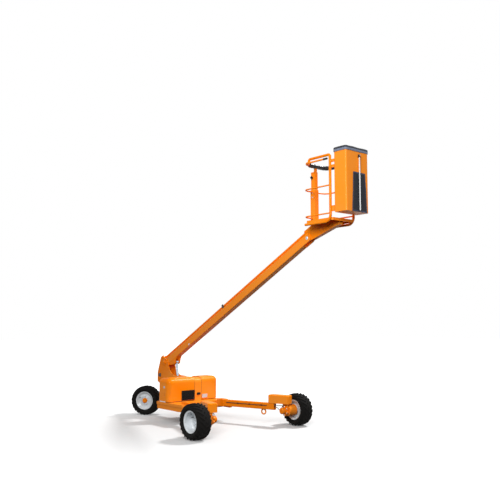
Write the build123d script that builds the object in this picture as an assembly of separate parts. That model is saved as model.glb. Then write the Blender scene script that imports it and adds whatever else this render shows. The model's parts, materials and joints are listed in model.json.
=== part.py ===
"""Self-propelled orchard work platform: three wheels, a levelled boom and a picking cage with a fruit bin.

Millimetres. X points forward along the boom, Y to the left, Z up. The sizes below are measured from the
ground under the middle of the front axle. Every solid is moved along X, and down onto its lugs, as it is
saved, so that the origin of the finished part lies on the ground under the middle of its outline.
"""
from build123d import *
from math import atan2, cos, degrees, hypot, radians, sin
import os

# Running clearances
PIN_CLEARANCE = 0.05
SEAT_CLEARANCE = 0.3
MOVING_CLEARANCE = 8.0

# Wheels: a wide flotation tyre with slanted lugs on a dished steel rim, the same on all three corners
TYRE_DIAMETER = 690.0
TYRE_WIDTH = 320.0
TYRE_WALL = 26.0
TYRE_SHOULDER = 48.0
LUG_COUNT = 16
LUG_HEIGHT = 20.0
LUG_WIDTH = 42.0
LUG_SLANT = 42.0
LUG_INNER_GAP = 6.0
RIM_DIAMETER = 420.0
RIM_WIDTH = 250.0
RIM_LIP = 26.0
RIM_WALL = 8.0
FRONT_DISC_OFFSET = -45.0
REAR_DISC_OFFSET = 70.0
DISC_WALL = 10.0
HUB_RADIUS = 62.0
HUB_LENGTH = 56.0
HUB_RING_RADIUS = 100.0
HUB_RING_HEIGHT = 14.0
AXLE_RADIUS = 30.0
HUB_CAP_RADIUS = 58.0
HUB_CAP_LENGTH = 34.0
TRACK = 2694.0
MOTOR_RADIUS = 116.0
MOTOR_LENGTH = 205.0
MOTOR_FLANGE_RADIUS = 104.0
MOTOR_FLANGE_LENGTH = 26.0
MOTOR_FLANGE_NOTCHES = 6
MOTOR_BACK_RADIUS = 66.0
MOTOR_BACK_LENGTH = 120.0

# Legs: box beams that splay forward to the front wheels, with a wheel box on each end
LEG_ROOT_Y = 484.0
LEG_ROOT_TO_AXLE = 1400.0
LEG_END_TO_AXLE = 200.0
LEG_END_TO_WHEEL = 467.0
LEG_WIDTH = 100.0
LEG_HEIGHT = 140.0
LEG_BOTTOM = 350.0
LEG_WALL = 8.0
LEG_ROUND = 12.0
LEG_ROOT_WIDTH = 130.0
LEG_BOX_LAP = 141.0
LEG_BOX_MARGIN = 105.0
LEG_BOX_INSET = 64.0
LEG_BOX_OVERHANG = 58.0
LEG_BOX_HEIGHT = 178.0
LEG_BOX_ROUND = 26.0
NECK_LENGTH = 140.0
NECK_WIDTH = 90.0
NECK_ROUND = 20.0
RING_OUTER_RADIUS = 66.0
RING_BORE_RADIUS = 38.0
RING_THICKNESS = 20.0
RING_WELD = 12.0
RING_FROM_END = 280.0

# Main frame under the hood
FRAME_HALF_WIDTH = 680.0
FRAME_REAR_X = -2400.0
FRAME_FRONT_X = -1630.0
FRAME_BOTTOM = 300.0
FRAME_TOP = 455.0
RAIL_WIDTH = 80.0
RAIL_LEDGE = 14.0
RAIL_LEDGE_DROP = 62.0
CHANNEL_WALL = 10.0
CROSS_LENGTH = 100.0
SPINE_INNER = 80.0
SPINE_OUTER = 130.0
SPINE_BOTTOM = 430.0
SPINE_TOP = 560.0
SPINE_REAR_X = -2970.0
PAN_THICKNESS = 10.0

# Rear steering: a kingpin in a head tube, with a trailing knuckle that holds the wheel from its left side
KINGPIN_FROM_SPINE = 145.0
KINGPIN_RADIUS = 28.0
HEAD_RADIUS = 62.0
HEAD_BOTTOM = 425.0
HEAD_TOP = 700.0
HEAD_NECK_HALF_WIDTH = 58.0
HEAD_BLOCK_LENGTH = 50.0
STEER_AT_REST = 35.0
STEER_TRAIL = 470.0
KNUCKLE_ARM_WIDTH = 110.0
KNUCKLE_ARM_THICKNESS = 60.0
KNUCKLE_BOTTOM = 290.0
KNUCKLE_TOP = 410.0
KNUCKLE_GAP = 30.0
KNUCKLE_ROUND = 40.0
KINGPIN_CAP_RADIUS = 44.0
KINGPIN_CAP_HEIGHT = 14.0

# Hood: two lids over the engine and the tanks, with a fixed band between them under the boom
HOOD_REAR_X = -2365.0
HOOD_FRONT_X = -1940.0
HOOD_HALF_WIDTH = 686.0
HOOD_BOTTOM = 470.0
HOOD_TOP = 970.0
HOOD_ROUND = 105.0
HOOD_WALL = 8.0
HOOD_GAP = 8.0
BAND_RIGHT_Y = 30.0
BAND_LEFT_Y = 210.0
GRILLE_RIGHT_Y = -330.0
GRILLE_LEFT_Y = 20.0
GRILLE_BOTTOM = 480.0
GRILLE_TOP = 690.0
GRILLE_DEPTH = 14.0
GRILLE_SLOTS = 7
HAND_HOLE_FROM_FRONT = 160.0
HAND_HOLE_ABOVE_FOOT = 140.0
HAND_HOLE_WIDTH = 18.0
HAND_HOLE_HEIGHT = 76.0
PLATE_Y = 300.0
PLATE_Z = 540.0
PLATE_WIDTH = 140.0
PLATE_HEIGHT = 80.0
PLATE_DEPTH = 12.0
LATCH_Y = 132.0
LATCH_Z = 600.0
LATCH_WIDTH = 85.0
LATCH_HEIGHT = 50.0
LATCH_DEPTH = 18.0
ENGINE_LENGTH = 330.0
ENGINE_WIDTH = 460.0
ENGINE_HEIGHT = 380.0
ENGINE_Y = -360.0

# Boom, tower and levelling tie: a parallelogram that keeps the platform upright
PIVOT_X = -3000.0
PIVOT_Z = 1249.0
BOOM_LENGTH = 5368.0
BOOM_ANGLE = 28.1
BOOM_HEIGHT = 150.0
BOOM_WIDTH = 140.0
BOOM_WALL = 8.0
BOOM_ROOT_LAP = 120.0
BOOM_TIP_LAP = 190.0
BOOM_PIN_RADIUS = 30.0
FORK_PLATE = 16.0
TIE_SPACING = 138.0
TIE_RADIUS = 22.0
TIE_WALL = 5.0
TIE_EYE_RADIUS = 30.0
TIE_EYE_WIDTH = 56.0
TIE_PIN_RADIUS = 14.0
TOWER_INNER = 80.0
TOWER_PLATE = 20.0
TOWER_BACK = 290.0
TOWER_BACK_DROP = 240.0
TOWER_KNEE_DROP = 450.0
TOWER_HEEL_RISE = 160.0
TOWER_FRONT_RISE = 410.0
THROAT_RADIUS = 330.0
THROAT_REACH = 264.0
EAR_RADIUS = 44.0
GUIDE_FROM_ROOT = 2500.0
GUIDE_LENGTH = 60.0
GUIDE_PLATE = 6.0
TIP_DISC_RADIUS = 33.0
TIP_DISC_HEIGHT = 4.0

# Lift cylinder, placed from the boom's pivot
LIFT_TOP_REACH = 360.0
LIFT_TOP_RISE = 30.0
LIFT_BASE_REACH = 530.0
LIFT_BASE_Z = 220.0
LIFT_BARREL_RADIUS = 46.0
LIFT_ROD_RADIUS = 28.0
LIFT_BARREL_LENGTH = 640.0
LIFT_ROD_LENGTH = 770.0
LIFT_EYE_RADIUS = 44.0
LIFT_EYE_WIDTH = 60.0
LIFT_PIN_RADIUS = 20.0
LIFT_LUG_INNER = 52.0
LIFT_EAR_PLATE = 20.0

# Work platform, placed from the boom's tip
FLOOR_FROM_TIP = 195.0
FLOOR_ABOVE_TIP = 231.0
FLOOR_LENGTH = 650.0
FLOOR_HEIGHT = 50.0
FLOOR_SKIN = 6.0
ARM_INNER = 34.0
ARM_PLATE = 14.0
ARM_SHORT_OF_FLOOR = 60.0
ARM_TIP_HEIGHT = 50.0
ARM_ROOT_DROP = 70.0
ARM_NOSE_RADIUS = 70.0
ARM_WEB_FROM_TIP = 170.0
CAGE_HALF_WIDTH = 305.0
CAGE_TUBE_RADIUS = 24.0
CAGE_HEIGHT = 1122.0
CAGE_REAR_FROM_TIP = 172.0
CAGE_BEND = 130.0
MID_RAIL_SHARE = 0.51
TOE_RAIL_HEIGHT = 72.0
RAIL_RADIUS = 13.0
REST_DROP = 62.0
PAD_RADIUS = 42.0
PAD_FRONT_GAP = 250.0
MAST_LENGTH = 92.0
MAST_WIDTH = 84.0
MAST_SLEEVE_WALL = 9.0
MAST_FOOT_HEIGHT = 30.0
KNOB_RADIUS = 26.0
KNOB_FROM_TOP = 190.0
GRIP_RADIUS = 16.0
GRIP_LENGTH = 90.0
GRIP_WALL = 5.0
GRIP_FRONT_GAP = 40.0

# Fruit bin, hung in front of the cage's posts
BIN_FROM_POSTS = 77.0
BIN_LENGTH = 286.0
BIN_HALF_WIDTH = 296.0
BIN_ABOVE_FLOOR = 78.0
BIN_ABOVE_RAIL = 27.0
BIN_WALL = 6.0
BIN_ROUND = 30.0
RIM_PAD_HEIGHT = 78.0
RIM_PAD_WIDTH = 26.0
FLAP_TOP_WIDTH = 320.0
FLAP_BOTTOM_WIDTH = 400.0
FLAP_HEIGHT = 704.0
FLAP_THICKNESS = 14.0
FLAP_Y = 45.0
ROPE_RADIUS = 12.0
ROPE_Y = 35.0
ROPE_FROM_TOP = 50.0
BRACKET_HEIGHT = 50.0
BRACKET_WIDTH = 30.0

# Places worked out from the sizes above
WHEEL_RADIUS = TYRE_DIAMETER / 2
HALF_TRACK = TRACK / 2
LEG_ROOT = (-LEG_ROOT_TO_AXLE, LEG_ROOT_Y)
LEG_END = (-LEG_END_TO_AXLE, HALF_TRACK - LEG_END_TO_WHEEL)
LEG_RUN = hypot(LEG_END[0] - LEG_ROOT[0], LEG_END[1] - LEG_ROOT[1])
LEG_ANGLE = degrees(atan2(LEG_END[1] - LEG_ROOT[1], LEG_END[0] - LEG_ROOT[0]))
LEG_TOP = LEG_BOTTOM + LEG_HEIGHT
MOTOR_FACE = FRONT_DISC_OFFSET - DISC_WALL / 2 - HUB_LENGTH - MOVING_CLEARANCE
NECK_Y = HALF_TRACK + MOTOR_FACE - MOTOR_LENGTH
KINGPIN_X = SPINE_REAR_X - KINGPIN_FROM_SPINE
BAND_DROP = HOOD_BOTTOM - FRAME_TOP
PIVOT = (PIVOT_X, PIVOT_Z)
BOOM_DIR = (cos(radians(BOOM_ANGLE)), sin(radians(BOOM_ANGLE)))
TIP = (PIVOT[0] + BOOM_LENGTH * BOOM_DIR[0], PIVOT[1] + BOOM_LENGTH * BOOM_DIR[1])
TIE_ROOT = (PIVOT[0] - TIE_SPACING * BOOM_DIR[1], PIVOT[1] + TIE_SPACING * BOOM_DIR[0])
TIE_TIP = (TIP[0] - TIE_SPACING * BOOM_DIR[1], TIP[1] + TIE_SPACING * BOOM_DIR[0])
LIFT_TOP = (PIVOT[0] + LIFT_TOP_REACH, PIVOT[1] + LIFT_TOP_RISE)
LIFT_BASE = (PIVOT[0] + LIFT_BASE_REACH, LIFT_BASE_Z)
LIFT_LENGTH = hypot(LIFT_TOP[0] - LIFT_BASE[0], LIFT_TOP[1] - LIFT_BASE[1])
LIFT_TILT = degrees(atan2(LIFT_TOP[1] - LIFT_BASE[1], LIFT_TOP[0] - LIFT_BASE[0]))
FLOOR_REAR_X = TIP[0] + FLOOR_FROM_TIP
FLOOR_FRONT_X = FLOOR_REAR_X + FLOOR_LENGTH
FLOOR_BOTTOM = TIP[1] + FLOOR_ABOVE_TIP
FLOOR_TOP = FLOOR_BOTTOM + FLOOR_HEIGHT
ARM_FRONT_X = FLOOR_FRONT_X - ARM_SHORT_OF_FLOOR
CAGE_BOTTOM = FLOOR_BOTTOM - CAGE_TUBE_RADIUS
CAGE_TOP = FLOOR_TOP + CAGE_HEIGHT
CAGE_REAR_X = TIP[0] + CAGE_REAR_FROM_TIP
CAGE_FRONT_X = FLOOR_FRONT_X - CAGE_TUBE_RADIUS
MID_RAIL_Z = FLOOR_TOP + MID_RAIL_SHARE * CAGE_HEIGHT
TOE_RAIL_Z = FLOOR_TOP + TOE_RAIL_HEIGHT
REST_Z = CAGE_TOP - REST_DROP
MAST_X = FLOOR_REAR_X - MAST_LENGTH / 2 - MAST_SLEEVE_WALL
MAST_TOP = REST_Z - CAGE_TUBE_RADIUS
MAST_SLEEVE_TOP = MID_RAIL_Z + MAST_WIDTH / 2
KNOB_Z = MAST_TOP - KNOB_FROM_TOP
GRIP_FRONT_X = CAGE_FRONT_X - CAGE_TUBE_RADIUS - GRIP_FRONT_GAP
BIN_REAR_X = CAGE_FRONT_X + BIN_FROM_POSTS
BIN_FRONT_X = BIN_REAR_X + BIN_LENGTH
BIN_BOTTOM = FLOOR_TOP + BIN_ABOVE_FLOOR
BIN_TOP = CAGE_TOP + BIN_ABOVE_RAIL
FLAP_TOP = BIN_BOTTOM + FLAP_HEIGHT
ROPE_X = BIN_FRONT_X + FLAP_THICKNESS + ROPE_RADIUS + SEAT_CLEARANCE
ROPE_TOP = BIN_TOP - ROPE_FROM_TOP


def block(x, y, z):
    """Box between a low and a high value on each axis."""
    centre = Pos((x[0] + x[1]) / 2, (y[0] + y[1]) / 2, (z[0] + z[1]) / 2)
    return centre * Box(x[1] - x[0], y[1] - y[0], z[1] - z[0])


def side_plate(outline, y_low, y_high):
    """Plate cut to a face or a list of points in X and Z, between two values of Y."""
    face = make_face(Polyline(*outline, close=True)) if isinstance(outline, list) else outline
    return extrude(Plane.XZ.offset(-y_high) * face, y_high - y_low)


def pin(at, radius, y_low, y_high):
    """Round bar along Y through a point given in X and Z."""
    return Pos(at[0], (y_low + y_high) / 2, at[1]) * Rot(90, 0, 0) * Cylinder(radius, y_high - y_low)


def tube(points, radius, bend):
    """Round bar along straight runs joined by bends of one radius."""
    path = FilletPolyline(*points, radius=bend)
    return sweep(Plane(origin=path @ 0, z_dir=path % 0) * Circle(radius), path)


def both_sides(shape):
    """The left-hand shape with its mirror image on the right."""
    return shape + mirror(shape, about=Plane.XZ)


def on_boom(shape):
    """Move a shape from the boom's own axes, X along it from the pivot, to its place."""
    return Pos(PIVOT[0], 0, PIVOT[1]) * Rot(0, -BOOM_ANGLE, 0) * shape


def on_lift(shape):
    """Move a shape from the cylinder's own axes, X along it from the base pin, to its place."""
    return Pos(LIFT_BASE[0], 0, LIFT_BASE[1]) * Rot(0, -LIFT_TILT, 0) * shape


def on_front_axle(shape):
    """Move a left-hand wheel piece from its own axle, Y outward, to the left end of the axle line."""
    return Pos(0, HALF_TRACK, WHEEL_RADIUS) * shape


def on_kingpin(shape):
    """Turn a piece from the straight-ahead kingpin axes to the steering angle at rest."""
    return Pos(KINGPIN_X, 0, 0) * Rot(0, 0, STEER_AT_REST) * shape


def rear_wheel_place(shape):
    """Move a wheel piece, Y outward, to the rear axle, whose outer face is on the right."""
    turned = mirror(shape, about=Plane.XZ)
    return on_kingpin(Pos(-STEER_TRAIL, 0, WHEEL_RADIUS) * turned)


def rim(disc):
    """Dished rim about Y with its disc at an offset towards the outer face, and a blind axle bore."""
    lip = RIM_DIAMETER / 2
    seat = lip - RIM_LIP
    inside = seat - RIM_WALL
    half = RIM_WIDTH / 2
    edge = half - 2 * RIM_WALL
    front = disc + DISC_WALL / 2
    back = disc - DISC_WALL / 2
    ring = HUB_RING_RADIUS
    step = RIM_WALL / 2
    bore = AXLE_RADIUS + PIN_CLEARANCE
    # Radius and distance outward along the axle, from the hub's face round the section and back
    section = [
        (0, front + DISC_WALL), (HUB_RADIUS - DISC_WALL, front + DISC_WALL), (HUB_RADIUS - DISC_WALL, front),
        (ring - 2 * step, front), (ring - step, front + HUB_RING_HEIGHT),
        (ring + step, front + HUB_RING_HEIGHT), (ring + 2 * step, front),
        (inside - RIM_LIP, front), (inside, front + 2 * RIM_WALL), (inside, edge), (lip - RIM_WALL, half),
        (lip, half), (lip, half - RIM_WALL), (seat, edge), (seat, -edge), (lip, RIM_WALL - half),
        (lip, -half), (lip - RIM_WALL, -half), (inside, -edge), (inside, back + RIM_WALL),
        (inside - RIM_LIP, back), (HUB_RADIUS, back), (HUB_RADIUS, back - HUB_LENGTH),
        (bore, back - HUB_LENGTH), (bore, back), (0, back),
    ]
    return revolve(make_face(Polyline(*section, close=True)), Axis.Y)


def tyre_drum(radius, half, sides):
    """Flat-sided drum about the axle."""
    return extrude(Plane.XZ * RegularPolygon(radius, sides), half, both=True)


def tyre_lug(turn, side):
    """Slanted bar on the tread, from near the middle out over one shoulder."""
    reach = TYRE_WIDTH / 2 - LUG_INNER_GAP
    length = (reach - LUG_WIDTH / 2) / cos(radians(LUG_SLANT))
    spread = length / 2 * sin(radians(LUG_SLANT)) + LUG_WIDTH / 2
    top = (WHEEL_RADIUS ** 2 - spread ** 2) ** 0.5
    bar = Box(LUG_WIDTH, length, 2 * LUG_HEIGHT)
    place = Pos(0, side * (LUG_INNER_GAP + reach / 2), top - LUG_HEIGHT)
    return Rot(0, turn, 0) * place * Rot(0, 0, side * LUG_SLANT) * bar


def tyre():
    """Wide hollow tyre about Y with slanted lugs, those of one side half a pitch on from the other's."""
    tread = WHEEL_RADIUS - LUG_HEIGHT
    wide = TYRE_WIDTH / 2
    bead = RIM_DIAMETER / 2 - RIM_LIP + SEAT_CLEARANCE
    over_lip = RIM_DIAMETER / 2 + RIM_WALL
    bead_out = RIM_WIDTH / 2 - 2 * RIM_WALL - SEAT_CLEARANCE
    body = tyre_drum(tread, wide, 2 * LUG_COUNT)
    rims = body.edges().group_by(Axis.Y)
    body = chamfer(rims[0] + rims[-1], TYRE_SHOULDER)
    pitch = 360 / LUG_COUNT
    lugs = [tyre_lug(pitch * (i + side / 4), side) for side in (-1, 1) for i in range(LUG_COUNT)]
    flat_side = Rot(90, 0, 0) * Cylinder(TYRE_DIAMETER, TYRE_WIDTH)
    body = body + [lug & flat_side for lug in lugs]
    body -= tyre_drum(tread - TYRE_WALL, bead_out - TYRE_WALL, LUG_COUNT)
    body -= Rot(90, 0, 0) * Cylinder(bead, TYRE_WIDTH)
    for side in (-1, 1):
        mouth = Cone(over_lip, over_lip + TYRE_WALL, wide - bead_out)
        body -= Pos(0, side * (wide + bead_out) / 2, 0) * Rot(-side * 90, 0, 0) * mouth
    return body


def wheel_motor(disc, length):
    """Round wheel motor inboard of a rim, with its mounting flange and the axle that enters the hub."""
    face = disc - DISC_WALL / 2 - HUB_LENGTH - MOVING_CLEARANCE
    drum = pin((0, 0), MOTOR_RADIUS, face - length, face)
    axle = pin((0, 0), AXLE_RADIUS, face, face + HUB_LENGTH)
    return drum + axle, face


def leg():
    """Left leg: a root block against the frame and a splayed box beam with rounded edges."""
    beam = block((-LEG_WIDTH / 2, LEG_RUN), (-LEG_WIDTH / 2, LEG_WIDTH / 2), (LEG_BOTTOM, LEG_TOP))
    beam = fillet(beam.edges().filter_by(Axis.X), LEG_ROUND)
    root = block((FRAME_FRONT_X, LEG_ROOT[0]),
                 (LEG_ROOT[1] - LEG_ROOT_WIDTH / 2, LEG_ROOT[1] + LEG_ROOT_WIDTH / 2),
                 (LEG_BOTTOM - PAN_THICKNESS, LEG_TOP + PAN_THICKNESS))
    hollow = block((LEG_WIDTH, LEG_RUN), (LEG_WALL - LEG_WIDTH / 2, LEG_WIDTH / 2 - LEG_WALL),
                   (LEG_BOTTOM + LEG_WALL, LEG_TOP - LEG_WALL))
    return root + on_leg(beam) - on_leg(hollow)


def on_leg(shape):
    """Move a shape from the leg's own axes, X along it from its root, to the left leg."""
    return Pos(LEG_ROOT[0], LEG_ROOT[1], 0) * Rot(0, 0, LEG_ANGLE) * shape


def neck_on_leg():
    """Place of the motor's neck along and across the left leg's own axes."""
    out = (-LEG_ROOT[0], NECK_Y - LEG_ROOT[1])
    turn = radians(LEG_ANGLE)
    return out[0] * cos(turn) + out[1] * sin(turn), out[1] * cos(turn) - out[0] * sin(turn)


def leg_box():
    """Left wheel box: a closed welded box on the end of the leg that reaches over the motor's neck."""
    neck_run, neck_side = neck_on_leg()
    body = block((LEG_RUN - LEG_BOX_LAP, neck_run + LEG_BOX_MARGIN),
                 (-LEG_BOX_INSET, neck_side + LEG_BOX_OVERHANG), (LEG_TOP, LEG_TOP + LEG_BOX_HEIGHT))
    edges = body.edges().group_by(Axis.Z)[-1] + body.edges().filter_by(Axis.Z)
    return on_leg(fillet(edges, LEG_BOX_ROUND))


def front_motor():
    """Left wheel motor with the neck that hangs it under the wheel box, its notched flange and its back."""
    motor, face = wheel_motor(FRONT_DISC_OFFSET, MOTOR_LENGTH)
    inner = face - MOTOR_LENGTH - NECK_WIDTH / 2
    flange = pin((0, 0), MOTOR_FLANGE_RADIUS, inner - MOTOR_FLANGE_LENGTH, inner)
    notch = pin((MOTOR_FLANGE_RADIUS, 0), MOTOR_FLANGE_RADIUS / 4, inner - MOTOR_FLANGE_LENGTH, inner)
    for i in range(MOTOR_FLANGE_NOTCHES):
        flange -= Rot(0, 360 / MOTOR_FLANGE_NOTCHES * i, 0) * notch
    back = pin((0, 0), MOTOR_BACK_RADIUS, inner - MOTOR_BACK_LENGTH, inner)
    back = chamfer(back.edges().group_by(Axis.Y)[0], MOTOR_BACK_RADIUS / 4)
    neck = block((-NECK_LENGTH / 2, NECK_LENGTH / 2), (NECK_Y - NECK_WIDTH / 2, NECK_Y + NECK_WIDTH / 2),
                 (WHEEL_RADIUS - MOTOR_RADIUS / 2, LEG_TOP))
    neck = fillet(neck.edges().filter_by(Axis.Z), NECK_ROUND)
    return on_front_axle(motor + flange + back) + neck


def lashing_ring():
    """Left lashing ring: a flat ring welded to the underside of the leg."""
    at = (LEG_RUN - RING_FROM_END, LEG_BOTTOM + RING_WELD - RING_OUTER_RADIUS)
    ring = pin(at, RING_OUTER_RADIUS, -RING_THICKNESS / 2, RING_THICKNESS / 2)
    ring = chamfer(ring.edges().filter_by(GeomType.CIRCLE), RING_THICKNESS / 4)
    ring -= pin(at, RING_BORE_RADIUS, -RING_THICKNESS / 2, RING_THICKNESS / 2)
    return on_leg(ring - block((0, LEG_RUN), (-LEG_WIDTH, LEG_WIDTH), (LEG_BOTTOM, LEG_TOP)))


def main_frame():
    """Welded frame: ledged side rails, cross members, floor pan, spine, steering head and cylinder ears."""
    inner = FRAME_HALF_WIDTH - RAIL_WIDTH
    rail_ends = (FRAME_REAR_X, -LEG_ROOT_TO_AXLE)
    rails = block(rail_ends, (inner, FRAME_HALF_WIDTH - RAIL_LEDGE), (FRAME_BOTTOM, FRAME_TOP))
    rails += block(rail_ends, (inner, FRAME_HALF_WIDTH), (FRAME_TOP - RAIL_LEDGE_DROP, FRAME_TOP))
    deep = (FRAME_BOTTOM, FRAME_TOP)
    rear_cross = block((FRAME_REAR_X, FRAME_REAR_X + CROSS_LENGTH), (SPINE_INNER, inner), deep)
    spine = block((SPINE_REAR_X, HOOD_REAR_X - 2 * MOVING_CLEARANCE), (SPINE_INNER, SPINE_OUTER),
                  (SPINE_BOTTOM, SPINE_TOP))
    half_ear = LIFT_EYE_RADIUS + LIFT_EAR_PLATE
    ear_inner = LIFT_BARREL_RADIUS + MOVING_CLEARANCE
    ear = block((LIFT_BASE[0] - half_ear, LIFT_BASE[0] + half_ear), (ear_inner, SPINE_INNER),
                (LIFT_BASE[1] - half_ear, SPINE_TOP))
    gusset = block((LIFT_BASE[0] - half_ear, FRAME_REAR_X + CROSS_LENGTH), (SPINE_INNER, SPINE_OUTER), deep)
    web = (FRAME_BOTTOM + CHANNEL_WALL, FRAME_TOP - CHANNEL_WALL)
    rails -= block((FRAME_REAR_X + CROSS_LENGTH, FRAME_FRONT_X - CROSS_LENGTH),
                   (inner, FRAME_HALF_WIDTH - RAIL_LEDGE - CHANNEL_WALL), web)
    rear_cross -= block((FRAME_REAR_X + CHANNEL_WALL, FRAME_REAR_X + CROSS_LENGTH), (SPINE_OUTER, inner), web)
    frame = both_sides(rails + rear_cross + spine + ear + gusset)
    cross_rear = FRAME_FRONT_X - CROSS_LENGTH
    front_cross = block((cross_rear, FRAME_FRONT_X), (-inner, inner), deep)
    frame += front_cross - block((cross_rear, FRAME_FRONT_X - CHANNEL_WALL), (-inner, inner), web)
    pan = (FRAME_REAR_X + CROSS_LENGTH, cross_rear)
    frame += block(pan, (-inner, inner), (FRAME_TOP - PAN_THICKNESS, FRAME_TOP))
    head_block = (SPINE_REAR_X, SPINE_REAR_X + HEAD_BLOCK_LENGTH)
    frame += block(head_block, (-SPINE_INNER, SPINE_INNER), (SPINE_BOTTOM, HEAD_TOP))
    frame += block((KINGPIN_X, SPINE_REAR_X), (-HEAD_NECK_HALF_WIDTH, HEAD_NECK_HALF_WIDTH),
                   (HEAD_BOTTOM + MOVING_CLEARANCE, HEAD_TOP - MOVING_CLEARANCE))
    head_middle = Pos(KINGPIN_X, 0, (HEAD_BOTTOM + HEAD_TOP) / 2)
    frame += head_middle * Cylinder(HEAD_RADIUS, HEAD_TOP - HEAD_BOTTOM)
    frame -= head_middle * Cylinder(KINGPIN_RADIUS + PIN_CLEARANCE, HEAD_TOP - HEAD_BOTTOM)
    return frame + pin(LIFT_BASE, LIFT_PIN_RADIUS, -SPINE_INNER, SPINE_INNER)


def tower():
    """Boom tower: two shaped plates on the spine with the boom pin, the tie pin and a rear web."""
    front_x = HOOD_REAR_X - 2 * MOVING_CLEARANCE
    back_x = PIVOT[0] - TOWER_BACK
    heel_z = SPINE_TOP + TOWER_HEEL_RISE
    front_z = SPINE_TOP + TOWER_FRONT_RISE
    throat_x = PIVOT[0] + BOOM_HEIGHT
    outline = [(TIE_ROOT[0] + EAR_RADIUS, TIE_ROOT[1]), (TIE_ROOT[0], TIE_ROOT[1] + EAR_RADIUS),
               (TIE_ROOT[0] - 2 * EAR_RADIUS, TIE_ROOT[1]), (back_x, PIVOT[1] - TOWER_BACK_DROP),
               (back_x, PIVOT[1] - TOWER_KNEE_DROP), (SPINE_REAR_X - KINGPIN_FROM_SPINE, heel_z),
               (SPINE_REAR_X, heel_z), (SPINE_REAR_X, SPINE_TOP), (front_x, SPINE_TOP), (front_x, front_z),
               (throat_x + THROAT_REACH, front_z)]
    foot = Polyline((throat_x, PIVOT[1]), *outline)
    throat = RadiusArc(outline[-1], (throat_x, PIVOT[1]), THROAT_RADIUS)
    outer = TOWER_INNER + TOWER_PLATE
    plate = side_plate(make_face([foot, throat]), TOWER_INNER, outer)
    plate += pin(PIVOT, 2 * BOOM_PIN_RADIUS, outer, outer + TOWER_PLATE / 2)
    body = both_sides(plate)
    body += block((back_x, back_x + TOWER_PLATE), (-TOWER_INNER, TOWER_INNER),
                  (PIVOT[1] - TOWER_KNEE_DROP, PIVOT[1] - TOWER_BACK_DROP))
    body += pin(PIVOT, BOOM_PIN_RADIUS, -outer, outer)
    return body + pin(TIE_ROOT, TIE_PIN_RADIUS, -outer, outer)


def hood_skin(inset):
    """Solid of the hood's rounded form, set in by a wall on all sides but the open foot."""
    half = HOOD_HALF_WIDTH - inset
    skin = block((HOOD_REAR_X + inset, HOOD_FRONT_X - inset), (-half, half), (HOOD_BOTTOM, HOOD_TOP - inset))
    edges = skin.edges().group_by(Axis.Z)[-1] + skin.edges().filter_by(Axis.Z)
    return fillet(edges, HOOD_ROUND - inset)


def hood_shell():
    """Whole hood as one rounded shell, open below."""
    return hood_skin(0) - hood_skin(HOOD_WALL)


def hood_slice(y_low, y_high):
    """Part of the hood between two values of Y."""
    return hood_shell() & block((HOOD_REAR_X, HOOD_FRONT_X), (y_low, y_high), (HOOD_BOTTOM, HOOD_TOP))


def hinge_rod(radius):
    """Left lid's hinge rod along X at the foot of the hood's side."""
    middle = (HOOD_REAR_X + HOOD_FRONT_X) / 2
    reach = HOOD_FRONT_X - HOOD_REAR_X - 2 * HOOD_ROUND
    place = Pos(middle, HOOD_HALF_WIDTH - HOOD_WALL / 2, HOOD_BOTTOM - HOOD_WALL / 4)
    return place * Rot(0, 90, 0) * Cylinder(radius, reach)


def engine_hood():
    """Right lid over the engine, with the air opening behind the grille and a hand hole in its side."""
    lid = hood_slice(-HOOD_HALF_WIDTH, BAND_RIGHT_Y - HOOD_GAP)
    border = 2 * HOOD_WALL
    air = block((HOOD_FRONT_X - 2 * HOOD_WALL, HOOD_FRONT_X + HOOD_WALL),
                (GRILLE_RIGHT_Y + border, GRILLE_LEFT_Y - border),
                (GRILLE_BOTTOM + border, GRILLE_TOP - border))
    rod = mirror(hinge_rod(HOOD_WALL + SEAT_CLEARANCE), about=Plane.XZ)
    hole_x = HOOD_FRONT_X - HAND_HOLE_FROM_FRONT
    hole_z = HOOD_BOTTOM + HAND_HOLE_ABOVE_FOOT
    hole = block((hole_x - HAND_HOLE_WIDTH / 2, hole_x + HAND_HOLE_WIDTH / 2),
                 (-HOOD_HALF_WIDTH - HOOD_WALL, 2 * HOOD_WALL - HOOD_HALF_WIDTH),
                 (hole_z - HAND_HOLE_HEIGHT / 2, hole_z + HAND_HOLE_HEIGHT / 2))
    hole = fillet(hole.edges().filter_by(Axis.Y), HAND_HOLE_WIDTH / 3)
    return lid - air - rod - hole


def tank_hood():
    """Left lid over the tanks."""
    lid = hood_slice(BAND_LEFT_Y + HOOD_GAP, HOOD_HALF_WIDTH)
    return lid - hinge_rod(HOOD_WALL + SEAT_CLEARANCE)


def radiator_grille():
    """Black grille on the front of the engine lid, with level slots."""
    border = 2 * HOOD_WALL
    grille = block((HOOD_FRONT_X, HOOD_FRONT_X + GRILLE_DEPTH), (GRILLE_RIGHT_Y, GRILLE_LEFT_Y),
                   (GRILLE_BOTTOM, GRILLE_TOP))
    pitch = (GRILLE_TOP - GRILLE_BOTTOM - 2 * border) / GRILLE_SLOTS
    for row in range(GRILLE_SLOTS):
        low = GRILLE_BOTTOM + border + row * pitch
        grille -= block((HOOD_FRONT_X, HOOD_FRONT_X + GRILLE_DEPTH),
                        (GRILLE_RIGHT_Y + border, GRILLE_LEFT_Y - border),
                        (low + pitch / 4, low + pitch * 3 / 4))
    return grille


def hood_band():
    """Fixed band between the lids, set a little lower on top, standing on the floor pan."""
    band = hood_slice(BAND_RIGHT_Y, BAND_LEFT_Y)
    band = Pos(0, 0, -BAND_DROP) * band
    return band & block((HOOD_REAR_X, HOOD_FRONT_X), (BAND_RIGHT_Y, BAND_LEFT_Y), (FRAME_TOP, HOOD_TOP))


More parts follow.
